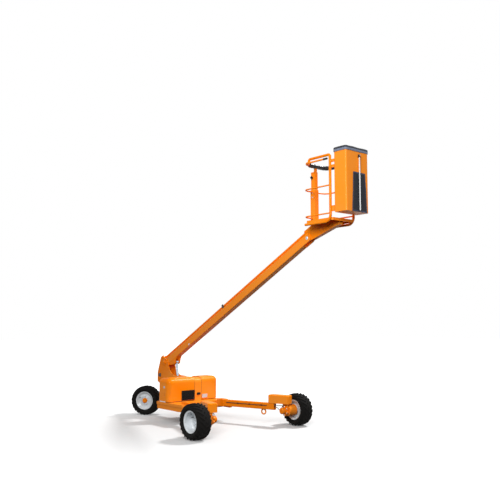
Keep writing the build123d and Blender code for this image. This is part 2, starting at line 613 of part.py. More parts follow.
def boom_tube():
    """Rectangular boom tube."""
    start, end = BOOM_ROOT_LAP, BOOM_LENGTH - BOOM_TIP_LAP
    outer = block((start, end), (-BOOM_WIDTH / 2, BOOM_WIDTH / 2), (-BOOM_HEIGHT / 2, BOOM_HEIGHT / 2))
    outer = fillet(outer.edges().filter_by(Axis.X), 1.5 * BOOM_WALL)
    bore = (BOOM_WALL - BOOM_WIDTH / 2, BOOM_WIDTH / 2 - BOOM_WALL)
    rise = (BOOM_WALL - BOOM_HEIGHT / 2, BOOM_HEIGHT / 2 - BOOM_WALL)
    return on_boom(outer - block((start, end), bore, rise))


def boom_root():
    """Boom foot round the pivot pin, with the rounded gusset cheeks that take the lift cylinder."""
    half = BOOM_WIDTH / 2
    head_radius = BOOM_HEIGHT / 2 + BOOM_WALL
    head = pin((0, 0), head_radius, -half, half)
    head += block((0, BOOM_ROOT_LAP), (-half, half), (-BOOM_HEIGHT / 2, BOOM_HEIGHT / 2))
    head -= pin((0, 0), BOOM_PIN_RADIUS + PIN_CLEARANCE, -half, half)
    solid_tube = on_boom(block((0, BOOM_LENGTH), (-half, half), (-BOOM_HEIGHT / 2, BOOM_HEIGHT / 2)))
    lug = LIFT_EYE_RADIUS + BOOM_WALL
    top = (PIVOT[0] + 2 * LIFT_TOP_REACH * BOOM_DIR[0], PIVOT[1] + 2 * LIFT_TOP_REACH * BOOM_DIR[1])
    throat = (LIFT_TOP[0] + lug, LIFT_TOP[1] + lug / 2)
    bow = ((throat[0] + top[0]) / 2 - lug / 2, (throat[1] + top[1]) / 2 + lug / 4)
    under = Polyline(top, PIVOT, (PIVOT[0], PIVOT[1] - head_radius + BOOM_WALL),
                     (LIFT_TOP[0], LIFT_TOP[1] - lug), (LIFT_TOP[0] + lug, LIFT_TOP[1] - lug / 2), throat)
    face = make_face([under, ThreePointArc(throat, bow, top)])
    cheek = side_plate(face, LIFT_LUG_INNER, half) - solid_tube
    cheek += pin(LIFT_TOP, LIFT_EYE_RADIUS - BOOM_WALL, half, half + BOOM_WALL / 2)
    cheek -= on_boom(pin((0, 0), head_radius, -half, half))
    return on_boom(head) + both_sides(cheek)


def boom_tip():
    """Boom nose: a fork of two rounded plates on the tube's end, which holds the platform's arm."""
    half = BOOM_WIDTH / 2
    start = BOOM_LENGTH - BOOM_TIP_LAP
    plate = block((start, BOOM_LENGTH), (half - FORK_PLATE, half), (-BOOM_HEIGHT / 2, BOOM_HEIGHT / 2))
    plate += pin((BOOM_LENGTH, 0), BOOM_HEIGHT / 2, half - FORK_PLATE, half)
    plate -= pin((BOOM_LENGTH, 0), BOOM_PIN_RADIUS + PIN_CLEARANCE, half - FORK_PLATE, half)
    web = block((start, start + FORK_PLATE), (-half, half), (-BOOM_HEIGHT / 2, BOOM_HEIGHT / 2))
    return on_boom(both_sides(plate) + web)


def tip_covers():
    """Zinc covers on both sides of the boom's nose, over the ends of the platform's pin."""
    half = BOOM_WIDTH / 2
    return on_boom(both_sides(pin((BOOM_LENGTH, 0), TIP_DISC_RADIUS, half, half + TIP_DISC_HEIGHT)))


def tie_guide():
    """Fork on the boom's back that keeps the levelling tie from swaying."""
    side = TIE_RADIUS + MOVING_CLEARANCE
    low = BOOM_HEIGHT / 2
    along = (GUIDE_FROM_ROOT - GUIDE_LENGTH / 2, GUIDE_FROM_ROOT + GUIDE_LENGTH / 2)
    high = TIE_SPACING + TIE_RADIUS + 2 * GUIDE_PLATE
    fork = both_sides(block(along, (side, side + GUIDE_PLATE), (low, high)))
    fork += block(along, (-side - GUIDE_PLATE, side + GUIDE_PLATE), (low, low + GUIDE_PLATE))
    return on_boom(fork)


def tie_rod():
    """Levelling tie: a tube parallel to the boom with an eye at each end."""
    middle = Pos(BOOM_LENGTH / 2, 0, 0) * Rot(0, 90, 0)
    rod = middle * Cylinder(TIE_RADIUS, BOOM_LENGTH)
    rod -= middle * Cylinder(TIE_RADIUS - TIE_WALL, BOOM_LENGTH)
    for end in (0, BOOM_LENGTH):
        rod += pin((end, 0), TIE_EYE_RADIUS, -TIE_EYE_WIDTH / 2, TIE_EYE_WIDTH / 2)
    for end in (0, BOOM_LENGTH):
        rod -= pin((end, 0), TIE_PIN_RADIUS + PIN_CLEARANCE, -TIE_EYE_WIDTH, TIE_EYE_WIDTH)
    return Pos(TIE_ROOT[0], 0, TIE_ROOT[1]) * Rot(0, -BOOM_ANGLE, 0) * rod


def lift_barrel():
    """Cylinder barrel with its base eye and gland."""
    along = Pos(LIFT_BARREL_LENGTH / 2, 0, 0) * Rot(0, 90, 0)
    body = along * Cylinder(LIFT_BARREL_RADIUS, LIFT_BARREL_LENGTH)
    body += pin((0, 0), LIFT_BARREL_RADIUS, -LIFT_BARREL_RADIUS, LIFT_BARREL_RADIUS)
    bottom = LIFT_BARREL_RADIUS + LIFT_PIN_RADIUS
    depth = LIFT_BARREL_LENGTH - bottom
    bore = Cylinder(LIFT_ROD_RADIUS + SEAT_CLEARANCE, depth)
    body -= Pos(bottom + depth / 2, 0, 0) * Rot(0, 90, 0) * bore
    body -= pin((0, 0), LIFT_PIN_RADIUS + PIN_CLEARANCE, -2 * LIFT_BARREL_RADIUS, 2 * LIFT_BARREL_RADIUS)
    return on_lift(body)


def lift_rod():
    """Chromed rod with the eye that runs between the boom's cheeks."""
    middle = Pos(LIFT_LENGTH - LIFT_ROD_LENGTH / 2, 0, 0)
    rod = middle * Rot(0, 90, 0) * Cylinder(LIFT_ROD_RADIUS, LIFT_ROD_LENGTH)
    rod += pin((LIFT_LENGTH, 0), LIFT_EYE_RADIUS, -LIFT_EYE_WIDTH / 2, LIFT_EYE_WIDTH / 2)
    rod -= pin((LIFT_LENGTH, 0), LIFT_PIN_RADIUS, -LIFT_EYE_WIDTH, LIFT_EYE_WIDTH)
    return on_lift(rod)


def platform_bracket():
    """Platform arm: two plates in the boom's fork that run forward, tapered, under the floor, with a web."""
    outer = ARM_INNER + ARM_PLATE
    arm_low = FLOOR_BOTTOM - ARM_TIP_HEIGHT
    root_low = TIP[1] - ARM_ROOT_DROP
    web_x = TIP[0] + ARM_WEB_FROM_TIP
    web_z = root_low + (arm_low - root_low) * ARM_WEB_FROM_TIP / (ARM_FRONT_X - TIP[0])
    rear_x = FLOOR_REAR_X - MAST_LENGTH - 2 * MAST_SLEEVE_WALL
    outline = [(TIE_TIP[0] - TIE_EYE_RADIUS, TIE_TIP[1]), (TIE_TIP[0], TIE_TIP[1] + TIE_EYE_RADIUS),
               (rear_x, FLOOR_BOTTOM), (ARM_FRONT_X, FLOOR_BOTTOM), (ARM_FRONT_X, arm_low),
               (TIP[0], root_low), (TIP[0] - ARM_NOSE_RADIUS, TIP[1])]
    cheek = side_plate(outline, ARM_INNER, outer)
    cheek += pin(TIP, ARM_NOSE_RADIUS, ARM_INNER, outer) + pin(TIE_TIP, TIE_EYE_RADIUS, ARM_INNER, outer)
    body = both_sides(cheek)
    body += side_plate([(web_x, web_z), (ARM_FRONT_X, arm_low), (ARM_FRONT_X, arm_low + FLOOR_SKIN),
                        (web_x, web_z + FLOOR_SKIN)], -ARM_INNER, ARM_INNER)
    body += block((ARM_FRONT_X - FLOOR_SKIN, ARM_FRONT_X), (-ARM_INNER, ARM_INNER), (arm_low, FLOOR_BOTTOM))
    half = BOOM_WIDTH / 2
    return body + pin(TIP, BOOM_PIN_RADIUS, -half, half) + pin(TIE_TIP, TIE_PIN_RADIUS, -outer, outer)


def platform_floor():
    """Floor tray: a skin with a rim, two ribs on the arm and saddles on the bottom tubes."""
    edge = CAGE_HALF_WIDTH - CAGE_TUBE_RADIUS - SEAT_CLEARANCE
    tray = block((FLOOR_REAR_X, FLOOR_FRONT_X), (-edge, edge), (FLOOR_BOTTOM, FLOOR_TOP))
    tray = fillet(tray.edges().filter_by(Axis.Z), CAGE_TUBE_RADIUS)
    rib = ARM_PLATE
    pocket = block((FLOOR_REAR_X + rib, FLOOR_FRONT_X - rib), (rib - edge, edge - rib),
                   (FLOOR_BOTTOM, FLOOR_TOP - FLOOR_SKIN))
    ribs = both_sides(block((FLOOR_REAR_X, FLOOR_FRONT_X), (ARM_INNER, ARM_INNER + ARM_PLATE),
                            (FLOOR_BOTTOM, FLOOR_TOP)))
    saddle = block((FLOOR_REAR_X + CAGE_BEND, FLOOR_FRONT_X - 2 * CAGE_BEND), (edge - rib, CAGE_HALF_WIDTH),
                   (CAGE_BOTTOM, FLOOR_BOTTOM + FLOOR_SKIN))
    return tray - (pocket - ribs) + both_sides(saddle - cage_frame())


def platform_mast():
    """Mast behind the floor: a foot on the arm, a sleeve, the post and a tapered head under the rest."""
    half_x, half_y = MAST_LENGTH / 2, MAST_WIDTH / 2
    wall = MAST_SLEEVE_WALL
    foot = block((MAST_X - half_x - 2 * wall, FLOOR_REAR_X), (-half_y - 2 * wall, half_y + 2 * wall),
                 (FLOOR_BOTTOM, FLOOR_BOTTOM + MAST_FOOT_HEIGHT))
    post_top = MAST_TOP - 2 * PAD_RADIUS
    post = block((MAST_X - half_x, MAST_X + half_x), (-half_y, half_y), (FLOOR_BOTTOM, post_top))
    sleeve = block((MAST_X - half_x - wall, MAST_X + half_x + wall), (-half_y - wall, half_y + wall),
                   (FLOOR_BOTTOM, MAST_SLEEVE_TOP))
    rest_low = REST_Z - PAD_RADIUS - SEAT_CLEARANCE
    neck_z = MAST_TOP - 4 * PAD_RADIUS
    head = side_plate([(MAST_X, neck_z), (MAST_X + half_x, neck_z), (CAGE_REAR_X + PAD_RADIUS / 2, rest_low),
                       (CAGE_REAR_X - PAD_RADIUS / 2, rest_low)], -half_y / 2, half_y / 2)
    hollow = block((MAST_X - half_x + wall, MAST_X + half_x - wall), (wall - half_y, half_y - wall),
                   (FLOOR_BOTTOM, post_top - wall))
    return foot + post + sleeve - hollow + head


def cage_frame():
    """Left side of the cage: floor tube and front post in one bent tube, up to the back rest's bar."""
    y = CAGE_HALF_WIDTH
    points = [(FLOOR_REAR_X, y, CAGE_BOTTOM), (CAGE_FRONT_X, y, CAGE_BOTTOM), (CAGE_FRONT_X, y, REST_Z)]
    return tube(points, CAGE_TUBE_RADIUS, CAGE_BEND)


def right_cage_frame():
    """Right side of the cage, whose post bends back into a top rail over the hand bar."""
    y = -CAGE_HALF_WIDTH
    lower = mirror(cage_frame(), about=Plane.XZ)
    rear_x = CAGE_REAR_X + CAGE_BEND
    points = [(CAGE_FRONT_X, y, REST_Z), (CAGE_FRONT_X, y, CAGE_TOP), (rear_x, y, CAGE_TOP),
              (rear_x, y, REST_Z)]
    return lower + tube(points, CAGE_TUBE_RADIUS, CAGE_TUBE_RADIUS + RAIL_RADIUS)


def rest_bar(radius, right_end, left_end):
    """Bar of one radius along the back rest's line, over the rear and the left side of the cage."""
    y = CAGE_HALF_WIDTH
    points = [(CAGE_REAR_X, right_end, REST_Z), (CAGE_REAR_X, y, REST_Z), (left_end, y, REST_Z)]
    return tube(points, radius, CAGE_BEND)


def rear_top_rail():
    """Bar that carries the back rest, from the right rear bend round to the left post."""
    right = tube([(CAGE_REAR_X, 0, REST_Z), (CAGE_REAR_X, -CAGE_HALF_WIDTH, REST_Z),
                  (CAGE_REAR_X + CAGE_BEND + CAGE_TUBE_RADIUS, -CAGE_HALF_WIDTH, REST_Z)],
                 CAGE_TUBE_RADIUS, CAGE_BEND)
    return right + rest_bar(CAGE_TUBE_RADIUS, 0, CAGE_FRONT_X) - cage_frame() - right_cage_frame()


def cage_rails():
    """Thin knee rail and toe rail on each side, from the mast round to the front post."""
    y = CAGE_HALF_WIDTH
    start = MAST_WIDTH / 2 + MAST_SLEEVE_WALL
    solids = []
    for z in (MID_RAIL_Z, TOE_RAIL_Z):
        rail = tube([(MAST_X, start, z), (MAST_X, y, z), (CAGE_FRONT_X, y, z)], RAIL_RADIUS, CAGE_BEND)
        rail -= cage_frame()
        solids += [rail, mirror(rail, about=Plane.XZ)]
    return Compound(solids)


def back_rest():
    """Padded sleeve on the bar."""
    ends = (CAGE_BEND - CAGE_HALF_WIDTH, CAGE_FRONT_X - PAD_FRONT_GAP)
    return rest_bar(PAD_RADIUS, *ends) - rest_bar(CAGE_TUBE_RADIUS + SEAT_CLEARANCE, *ends)


def hand_bar():
    """Bar below the right top rail, from the rear bend forward."""
    start = CAGE_REAR_X + CAGE_BEND + CAGE_TUBE_RADIUS
    end = GRIP_FRONT_X - GRIP_LENGTH
    bar = Rot(0, 90, 0) * Cylinder(GRIP_RADIUS, end - start)
    return Pos((start + end) / 2, -CAGE_HALF_WIDTH, REST_Z) * bar


def hand_grip():
    """Black grip on the end of the hand bar."""
    grip = Rot(0, 90, 0) * Cylinder(GRIP_RADIUS + GRIP_WALL, GRIP_LENGTH)
    return Pos(GRIP_FRONT_X - GRIP_LENGTH / 2, -CAGE_HALF_WIDTH, REST_Z) * grip


def bin_block(inset, low):
    """Solid of the bin's form, set in by a wall, from a height up to its open top."""
    body = block((BIN_REAR_X + inset, BIN_FRONT_X - inset), (inset - BIN_HALF_WIDTH, BIN_HALF_WIDTH - inset),
                 (low, BIN_TOP))
    return fillet(body.edges().filter_by(Axis.Z), BIN_ROUND - inset)


def fruit_bin():
    """Open-topped fruit bin with rounded upright corners."""
    return bin_block(0, BIN_BOTTOM) - bin_block(BIN_WALL, BIN_BOTTOM + BIN_WALL)


def bin_rim_pad():
    """Foam frame on the bin's upper edge."""
    grow = RIM_PAD_WIDTH / 2
    z = (BIN_TOP, BIN_TOP + RIM_PAD_HEIGHT)
    outer = block((BIN_REAR_X - grow, BIN_FRONT_X + grow), (-BIN_HALF_WIDTH - grow, BIN_HALF_WIDTH + grow), z)
    inner = block((BIN_REAR_X + grow, BIN_FRONT_X - grow), (grow - BIN_HALF_WIDTH, BIN_HALF_WIDTH - grow), z)
    outer = fillet(outer.edges().filter_by(Axis.Z), BIN_ROUND)
    return outer - fillet(inner.edges().filter_by(Axis.Z), BIN_ROUND / 2)


def chute_flap():
    """Canvas outlet flap that covers the lower part of the bin's front."""
    top, low = FLAP_TOP_WIDTH / 2, FLAP_BOTTOM_WIDTH / 2
    outline = [(FLAP_Y - low, BIN_BOTTOM), (FLAP_Y + low, BIN_BOTTOM), (FLAP_Y + top, FLAP_TOP),
               (FLAP_Y - top, FLAP_TOP)]
    face = make_face(Polyline(*outline, close=True))
    return extrude(Plane.YZ.offset(BIN_FRONT_X) * face, FLAP_THICKNESS)


def rope_cleats():
    """Cleat above the flap and eye at its foot, between which the rope is made fast."""
    y = (ROPE_Y - 1.5 * ROPE_RADIUS, ROPE_Y + 1.5 * ROPE_RADIUS)
    outer = ROPE_X + ROPE_RADIUS
    top = block((BIN_FRONT_X, outer), y, (ROPE_TOP - BRACKET_HEIGHT, ROPE_TOP))
    eye = block((BIN_FRONT_X + FLAP_THICKNESS, outer), y, (BIN_BOTTOM, BIN_BOTTOM + 2 * ROPE_RADIUS))
    return Compound([fillet(body.edges().filter_by(Axis.Z), ROPE_RADIUS / 2) for body in (top, eye)])


def chute_rope():
    """Taut rope down the middle of the flap."""
    low, high = BIN_BOTTOM + 2 * ROPE_RADIUS, ROPE_TOP - BRACKET_HEIGHT
    return Pos(ROPE_X, ROPE_Y, (low + high) / 2) * Cylinder(ROPE_RADIUS, high - low)


def bin_brackets():
    """Lugs that hang the bin in front of the posts."""
    y = CAGE_HALF_WIDTH - BIN_ROUND
    # Height of the lug's middle and its own height
    lugs = [(REST_Z - BRACKET_HEIGHT, BRACKET_HEIGHT), (REST_Z - 3 * BRACKET_HEIGHT, BRACKET_HEIGHT),
            (BIN_BOTTOM + 1.5 * BRACKET_HEIGHT, 2 * BRACKET_HEIGHT)]
    solids = []
    for z, height in lugs:
        lug = block((CAGE_FRONT_X, BIN_REAR_X), (y - BRACKET_WIDTH / 2, y + BRACKET_WIDTH / 2),
                    (z - height / 2, z + height / 2)) - cage_frame()
        solids += [lug, mirror(lug, about=Plane.XZ)]
    return Compound(solids)


def rear_knuckle():
    """Steering knuckle: kingpin with cap and thrust collar, and an arm round the left side of the tyre."""
    middle = (KNUCKLE_BOTTOM + KNUCKLE_TOP) / 2
    boss = Pos(0, 0, middle) * Cylinder(HEAD_RADIUS, KNUCKLE_TOP - KNUCKLE_BOTTOM)
    z = (KNUCKLE_BOTTOM, KNUCKLE_TOP)
    inner = TYRE_WIDTH / 2 + KNUCKLE_GAP
    outer = inner + KNUCKLE_ARM_THICKNESS
    half = KNUCKLE_ARM_WIDTH / 2
    arm = block((-half, half), (0, outer), z) + block((-STEER_TRAIL - half, half), (inner, outer), z)
    arm = fillet(arm.edges().filter_by(Axis.Z).group_by(Axis.Y)[-1], KNUCKLE_ROUND)
    pin_top = HEAD_TOP + SEAT_CLEARANCE
    kingpin = Pos(0, 0, (KNUCKLE_TOP + pin_top) / 2) * Cylinder(KINGPIN_RADIUS, pin_top - KNUCKLE_TOP)
    collar_top = HEAD_BOTTOM - SEAT_CLEARANCE
    collar = Cylinder(KINGPIN_CAP_RADIUS, collar_top - KNUCKLE_TOP)
    collar = Pos(0, 0, (KNUCKLE_TOP + collar_top) / 2) * collar
    cap = Pos(0, 0, pin_top + KINGPIN_CAP_HEIGHT / 2) * Cylinder(KINGPIN_CAP_RADIUS, KINGPIN_CAP_HEIGHT)
    return on_kingpin(boss + arm + kingpin + collar + cap)


def rear_motor():
    """Rear wheel motor on the knuckle's arm."""
    face = REAR_DISC_OFFSET - DISC_WALL / 2 - HUB_LENGTH - MOVING_CLEARANCE
    motor, face = wheel_motor(REAR_DISC_OFFSET, TYRE_WIDTH / 2 + KNUCKLE_GAP + face)
    return rear_wheel_place(motor)


def hub_cap():
    """Domed cap on the middle of the rear disc."""
    face = REAR_DISC_OFFSET + DISC_WALL / 2 + DISC_WALL
    cap = pin((0, 0), HUB_CAP_RADIUS, face, face + HUB_CAP_LENGTH)
    return chamfer(cap.edges().group_by(Axis.Y)[-1], HUB_CAP_LENGTH / 3)


def front_item(y, z, width, height, depth):
    """Small block on the hood's front face, with rounded corners."""
    body = block((HOOD_FRONT_X, HOOD_FRONT_X + depth), (y - width / 2, y + width / 2),
                 (z - height / 2, z + height / 2))
    return fillet(body.edges().filter_by(Axis.X), HOOD_WALL)


def engine_block():
    """Engine as one plain block on the floor pan."""
    middle = (HOOD_REAR_X + HOOD_FRONT_X) / 2
    return block((middle - ENGINE_LENGTH / 2, middle + ENGINE_LENGTH / 2),
                 (ENGINE_Y - ENGINE_WIDTH / 2, ENGINE_Y + ENGINE_WIDTH / 2),
                 (FRAME_TOP, FRAME_TOP + ENGINE_HEIGHT))


def hood_hinges():
    """Hinge rods of both lids on saddles that stand on the side rails."""
    middle = (HOOD_REAR_X + HOOD_FRONT_X) / 2
    reach = HOOD_FRONT_X - HOOD_REAR_X - 2 * HOOD_ROUND
    saddle = block((middle - reach / 2, middle + reach / 2),
                   (HOOD_HALF_WIDTH - HOOD_WALL, FRAME_HALF_WIDTH), (FRAME_TOP, HOOD_BOTTOM - HOOD_WALL / 2))
    return both_sides(hinge_rod(HOOD_WALL) + saddle)


def build():
    """All nodes by name."""
    round_tyre = tyre()
    nodes = {
        "main_frame": main_frame(),
        "tower": tower(),
        "lashing_rings": both_sides(lashing_ring()),
        "engine_block": engine_block(),
        "hood_band": hood_band(),
        "hood_latch": front_item(LATCH_Y, LATCH_Z, LATCH_WIDTH, LATCH_HEIGHT, LATCH_DEPTH),
        "hood_hinges": hood_hinges(),
        "engine_hood": engine_hood(),
        "radiator_grille": radiator_grille(),
        "tank_hood": tank_hood(),
        "blank_plate": front_item(PLATE_Y, PLATE_Z, PLATE_WIDTH, PLATE_HEIGHT, PLATE_DEPTH),
        "rear_knuckle": rear_knuckle(),
        "rear_wheel_motor": rear_motor(),
        "rear_rim": rear_wheel_place(rim(REAR_DISC_OFFSET)),
        "rear_tyre": rear_wheel_place(round_tyre),
        "rear_hub_cap": rear_wheel_place(hub_cap()),
        "boom_tube": boom_tube(),
        "boom_root": boom_root(),
        "boom_tip": boom_tip(),
        "tip_covers": tip_covers(),
        "tie_guide": tie_guide(),
        "tie_rod": tie_rod(),
        "lift_barrel": lift_barrel(),
        "lift_rod": lift_rod(),
        "platform_bracket": platform_bracket(),
        "platform_floor": platform_floor(),
        "platform_mast": platform_mast(),
        "rear_top_rail": rear_top_rail(),
        "left_cage_frame": cage_frame(),
        "right_cage_frame": right_cage_frame(),
        "cage_rails": cage_rails(),
        "back_rest": back_rest(),
        "hand_bar": hand_bar(),
        "hand_grip": hand_grip(),
        "fruit_bin": fruit_bin(),
        "bin_rim_pad": bin_rim_pad(),
        "chute_flap": chute_flap(),
        "rope_cleats": rope_cleats(),
        "chute_rope": chute_rope(),
        "bin_brackets": bin_brackets(),
        "mast_knob": pin((MAST_X, KNOB_Z), KNOB_RADIUS, -MAST_WIDTH / 2 - 2 * KNOB_RADIUS, -MAST_WIDTH / 2),
    }
    pairs = {"leg": leg(), "leg_box": leg_box(), "wheel_motor": front_motor(),
             "rim": on_front_axle(rim(FRONT_DISC_OFFSET)), "tyre": on_front_axle(round_tyre)}
    for name, shape in pairs.items():
        nodes["left_" + name] = shape
        nodes["right_" + name] = mirror(shape, about=Plane.XZ)
    return nodes


NODES = build()
BOXES = [shape.bounding_box() for shape in NODES.values()]
SHIFT_X = -(min(box.min.X for box in BOXES) + max(box.max.X for box in BOXES)) / 2
SHIFT_Z = -min(box.min.Z for box in BOXES)
os.makedirs("parts", exist_ok=True)
for node, shape in NODES.items():
    export_step(Pos(SHIFT_X, 0, SHIFT_Z) * shape, f"parts/{node}.step")
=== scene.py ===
"""Dresses the orchard work platform: finishes for its nodes, soft pieces, fittings and a plain studio."""

import json
import logging
import math
from dataclasses import dataclass
from enum import Enum
from functools import cache
from typing import Protocol

import bmesh
import bpy
from mathutils import Matrix, Vector


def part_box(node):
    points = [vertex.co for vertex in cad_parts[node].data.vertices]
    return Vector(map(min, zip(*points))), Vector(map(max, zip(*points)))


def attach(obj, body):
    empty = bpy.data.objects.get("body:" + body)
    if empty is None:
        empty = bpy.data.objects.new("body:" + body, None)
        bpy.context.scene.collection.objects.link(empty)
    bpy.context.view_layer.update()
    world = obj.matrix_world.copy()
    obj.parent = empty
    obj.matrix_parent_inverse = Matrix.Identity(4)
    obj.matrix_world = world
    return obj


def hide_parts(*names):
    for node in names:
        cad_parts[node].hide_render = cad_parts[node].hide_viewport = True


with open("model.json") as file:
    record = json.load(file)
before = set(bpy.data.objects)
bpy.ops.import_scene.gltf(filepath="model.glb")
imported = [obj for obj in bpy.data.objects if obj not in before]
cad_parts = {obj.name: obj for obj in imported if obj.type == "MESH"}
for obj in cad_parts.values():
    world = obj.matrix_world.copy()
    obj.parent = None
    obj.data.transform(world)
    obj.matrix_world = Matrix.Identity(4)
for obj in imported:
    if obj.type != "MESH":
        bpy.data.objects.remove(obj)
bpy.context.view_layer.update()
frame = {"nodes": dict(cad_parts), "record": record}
LOG = logging.getLogger("work_platform")
MM = 0.001
# An edge that bends by more than this stays sharp
SHARP_EDGE = math.radians(40)
Socket = bpy.types.NodeSocket
Pair = tuple[float, float]
Pairs = tuple[Pair, ...]
Triple = tuple[float, float, float]
Path = list[Vector]
FORWARD, LEFT, RIGHT, UP = Vector((1, 0, 0)), Vector((0, 1, 0)), Vector((0, -1, 0)), Vector((0, 0, 1))


class Pattern(Enum):
    """Fine surface relief that a finish can carry."""

    PEEL = "the ripple of sprayed enamel"
    GRAIN = "moulded or embossed grain"
    WEAVE = "crossing threads"
    PORES = "open cells of cut foam"
    FIBRE = "strands along the surface"
    SPANGLE = "zinc crystals"
    SCRATCH = "fine wiping marks"


def linear(hex_colour: str) -> tuple[float, float, float, float]:
    """Turn six hex digits of an sRGB colour into linear red, green, blue and an alpha of 1."""
    channels = [int(hex_colour[i:i + 2], 16) / 255 for i in (0, 2, 4)]
    return *[c / 12.92 if c <= 0.04045 else ((c + 0.055) / 1.055) ** 2.4 for c in channels], 1.0


class Graph:
    """The node tree of a material or a world, emptied and filled again."""

    def __init__(self, owner: bpy.types.Material | bpy.types.World) -> None:
        """Empty a tree.

        Args:
            owner: the material or world that has the tree.
        """
        owner.use_nodes = True
        self.tree = owner.node_tree
        self.tree.nodes.clear()

    def add(self, kind: str, inputs: dict | None = None, **settings: object) -> bpy.types.Node:
        """Add one node with its settings and links.

        Args:
            kind: Blender's node type.
            inputs: socket name or index to a value, or to an output socket that is linked to it.
            settings: attributes set on the node before its sockets.

        Returns:
            The new node.
        """
        node = self.tree.nodes.new(kind)
        for name, value in settings.items():
            setattr(node, name, value)
        for key, value in (inputs or {}).items():
            if isinstance(value, Socket):
                self.tree.links.new(value, node.inputs[key])
            else:
                node.inputs[key].default_value = value
        return node

    def seen(self) -> Socket:
        """Whether a ray comes from the camera, a mirror or glass.

        Returns:
            1 for such a ray and 0 for light on its way to the part.
        """
        rays = self.add("ShaderNodeLightPath")
        found = rays.outputs["Is Camera Ray"]
        for name in ("Is Glossy Ray", "Is Transmission Ray"):
            either = self.add("ShaderNodeMath", {0: found, 1: rays.outputs[name]}, operation="MAXIMUM")
            found = either.outputs["Value"]
        return found


# Noise values between which a finish's colour and roughness change
MOTTLE_SPAN = (0.35, 0.7)
ROUGH_SPAN = (0.3, 0.7)
# Heights between which dust thins out, in metres, and the share of it that is left above them
DUST_SPAN = (0.05, 0.9)
DUST_ABOVE = 0.08
DUST_COLOUR = "8A7A66"
# Pointiness between which an edge counts as rubbed
WORN_SPAN = (0.53, 0.62)
WORN_EDGE_COLOUR = "FFC766"
# Divisor of a wave texture's scale that makes one wave, a thread and a gap, two pattern sizes long
WAVE_SCALE = 6.3
STRETCHES = {Pattern.FIBRE: (1, 1, 0.08), Pattern.SCRATCH: (1, 1, 0.05)}


@dataclass(frozen=True)
class Finish:
    """One material, from what the real surface is and how it was made."""

    name: str
    slot: str
    colour: str
    shade: str
    roughness: float
    pattern: Pattern
    pattern_mm: float
    relief_mm: float
    mottle_mm: float = 300.0
    mottle: float = 0.6
    rough_spread: float = 0.06
    metallic: float = 0.0
    ior: float = 1.5
    coat: float = 0.0
    sheen: float = 0.0
    dust: float = 0.0
    wear: float = 0.0

    @cache
    def material(self) -> bpy.types.Material:
        """Build the node material, once.

        Returns:
            A material with colour variation, dust, wear and relief.
        """
        made = bpy.data.materials.new(self.name)
        graph = Graph(made)
        place = graph.add("ShaderNodeTexCoord").outputs["Object"]
        cloud = graph.add("ShaderNodeTexNoise", {"Vector": place, "Scale": 1 / (self.mottle_mm * MM),
                                                 "Detail": 5.0, "Roughness": 0.6}).outputs["Fac"]
        # What a layer of colour follows, between which values, its shares there, and its colour
        layers = [(cloud, MOTTLE_SPAN, (0.0, self.mottle), self.shade)]
        if self.dust:
            height = graph.add("ShaderNodeSeparateXYZ", {"Vector": place}).outputs["Z"]
            layers.append((height, DUST_SPAN, (self.dust, self.dust * DUST_ABOVE), DUST_COLOUR))
        if self.wear:
            edge = graph.add("ShaderNodeNewGeometry").outputs["Pointiness"]
            layers.append((edge, WORN_SPAN, (0.0, self.wear), WORN_EDGE_COLOUR))
        colour = linear(self.colour)
        for source, span, shares, tint in layers:
            share = graph.add("ShaderNodeMapRange", {
                "Value": source, "From Min": span[0], "From Max": span[1], "To Min": shares[0],
                "To Max": shares[1]}).outputs["Result"]
            if source is not cloud:
                # The cloud breaks up dust and wear
                patchy = graph.add("ShaderNodeMath", {0: share, 1: cloud}, operation="MULTIPLY")
                share = patchy.outputs["Value"]
            mixed = graph.add("ShaderNodeMix", {0: share, 6: colour, 7: linear(tint)}, data_type="RGBA")
            colour = mixed.outputs[2]
        rough = graph.add("ShaderNodeMapRange", {
            "Value": cloud, "From Min": ROUGH_SPAN[0], "From Max": ROUGH_SPAN[1],
            "To Min": self.roughness - self.rough_spread,
            "To Max": self.roughness + self.rough_spread}).outputs["Result"]
        bump = graph.add("ShaderNodeBump", {"Height": self.relief(graph, place), "Strength": 0.6,
                                            "Distance": self.relief_mm * MM}).outputs["Normal"]
        shader = graph.add("ShaderNodeBsdfPrincipled", {
            "Base Color": colour, "Roughness": rough, "Normal": bump, "Metallic": self.metallic,
            "IOR": self.ior, "Coat Weight": self.coat, "Coat Roughness": 0.12, "Sheen Weight": self.sheen,
            "Sheen Roughness": 0.4})
        graph.add("ShaderNodeOutputMaterial", {"Surface": shader.outputs["BSDF"]})
        return made

    def relief(self, graph: Graph, place: Socket) -> Socket:
        """Height of the fine pattern, at its real spacing.

        Args:
            graph: the tree that receives the nodes.
            place: object coordinates.

        Returns:
            The height.
        """
        scale = 1 / (self.pattern_mm * MM)
        if self.pattern is Pattern.WEAVE:
            wave = {"Vector": place, "Scale": scale / WAVE_SCALE, "Distortion": 0.4}
            threads = [graph.add("ShaderNodeTexWave", wave, bands_direction=axis).outputs["Fac"]
                       for axis in ("Y", "Z")]
            crossed = graph.add("ShaderNodeMath", dict(enumerate(threads)), operation="MAXIMUM")
            return crossed.outputs["Value"]
        if self.pattern in (Pattern.PORES, Pattern.SPANGLE, Pattern.GRAIN):
            return graph.add("ShaderNodeTexVoronoi", {"Vector": place, "Scale": scale}).outputs["Distance"]
        stretch = STRETCHES.get(self.pattern, (1, 1, 1))
        drawn = graph.add("ShaderNodeMapping", {"Vector": place, "Scale": stretch}).outputs["Vector"]
        noise = graph.add("ShaderNodeTexNoise", {"Vector": drawn, "Scale": scale, "Detail": 3.0})
        return noise.outputs["Fac"]


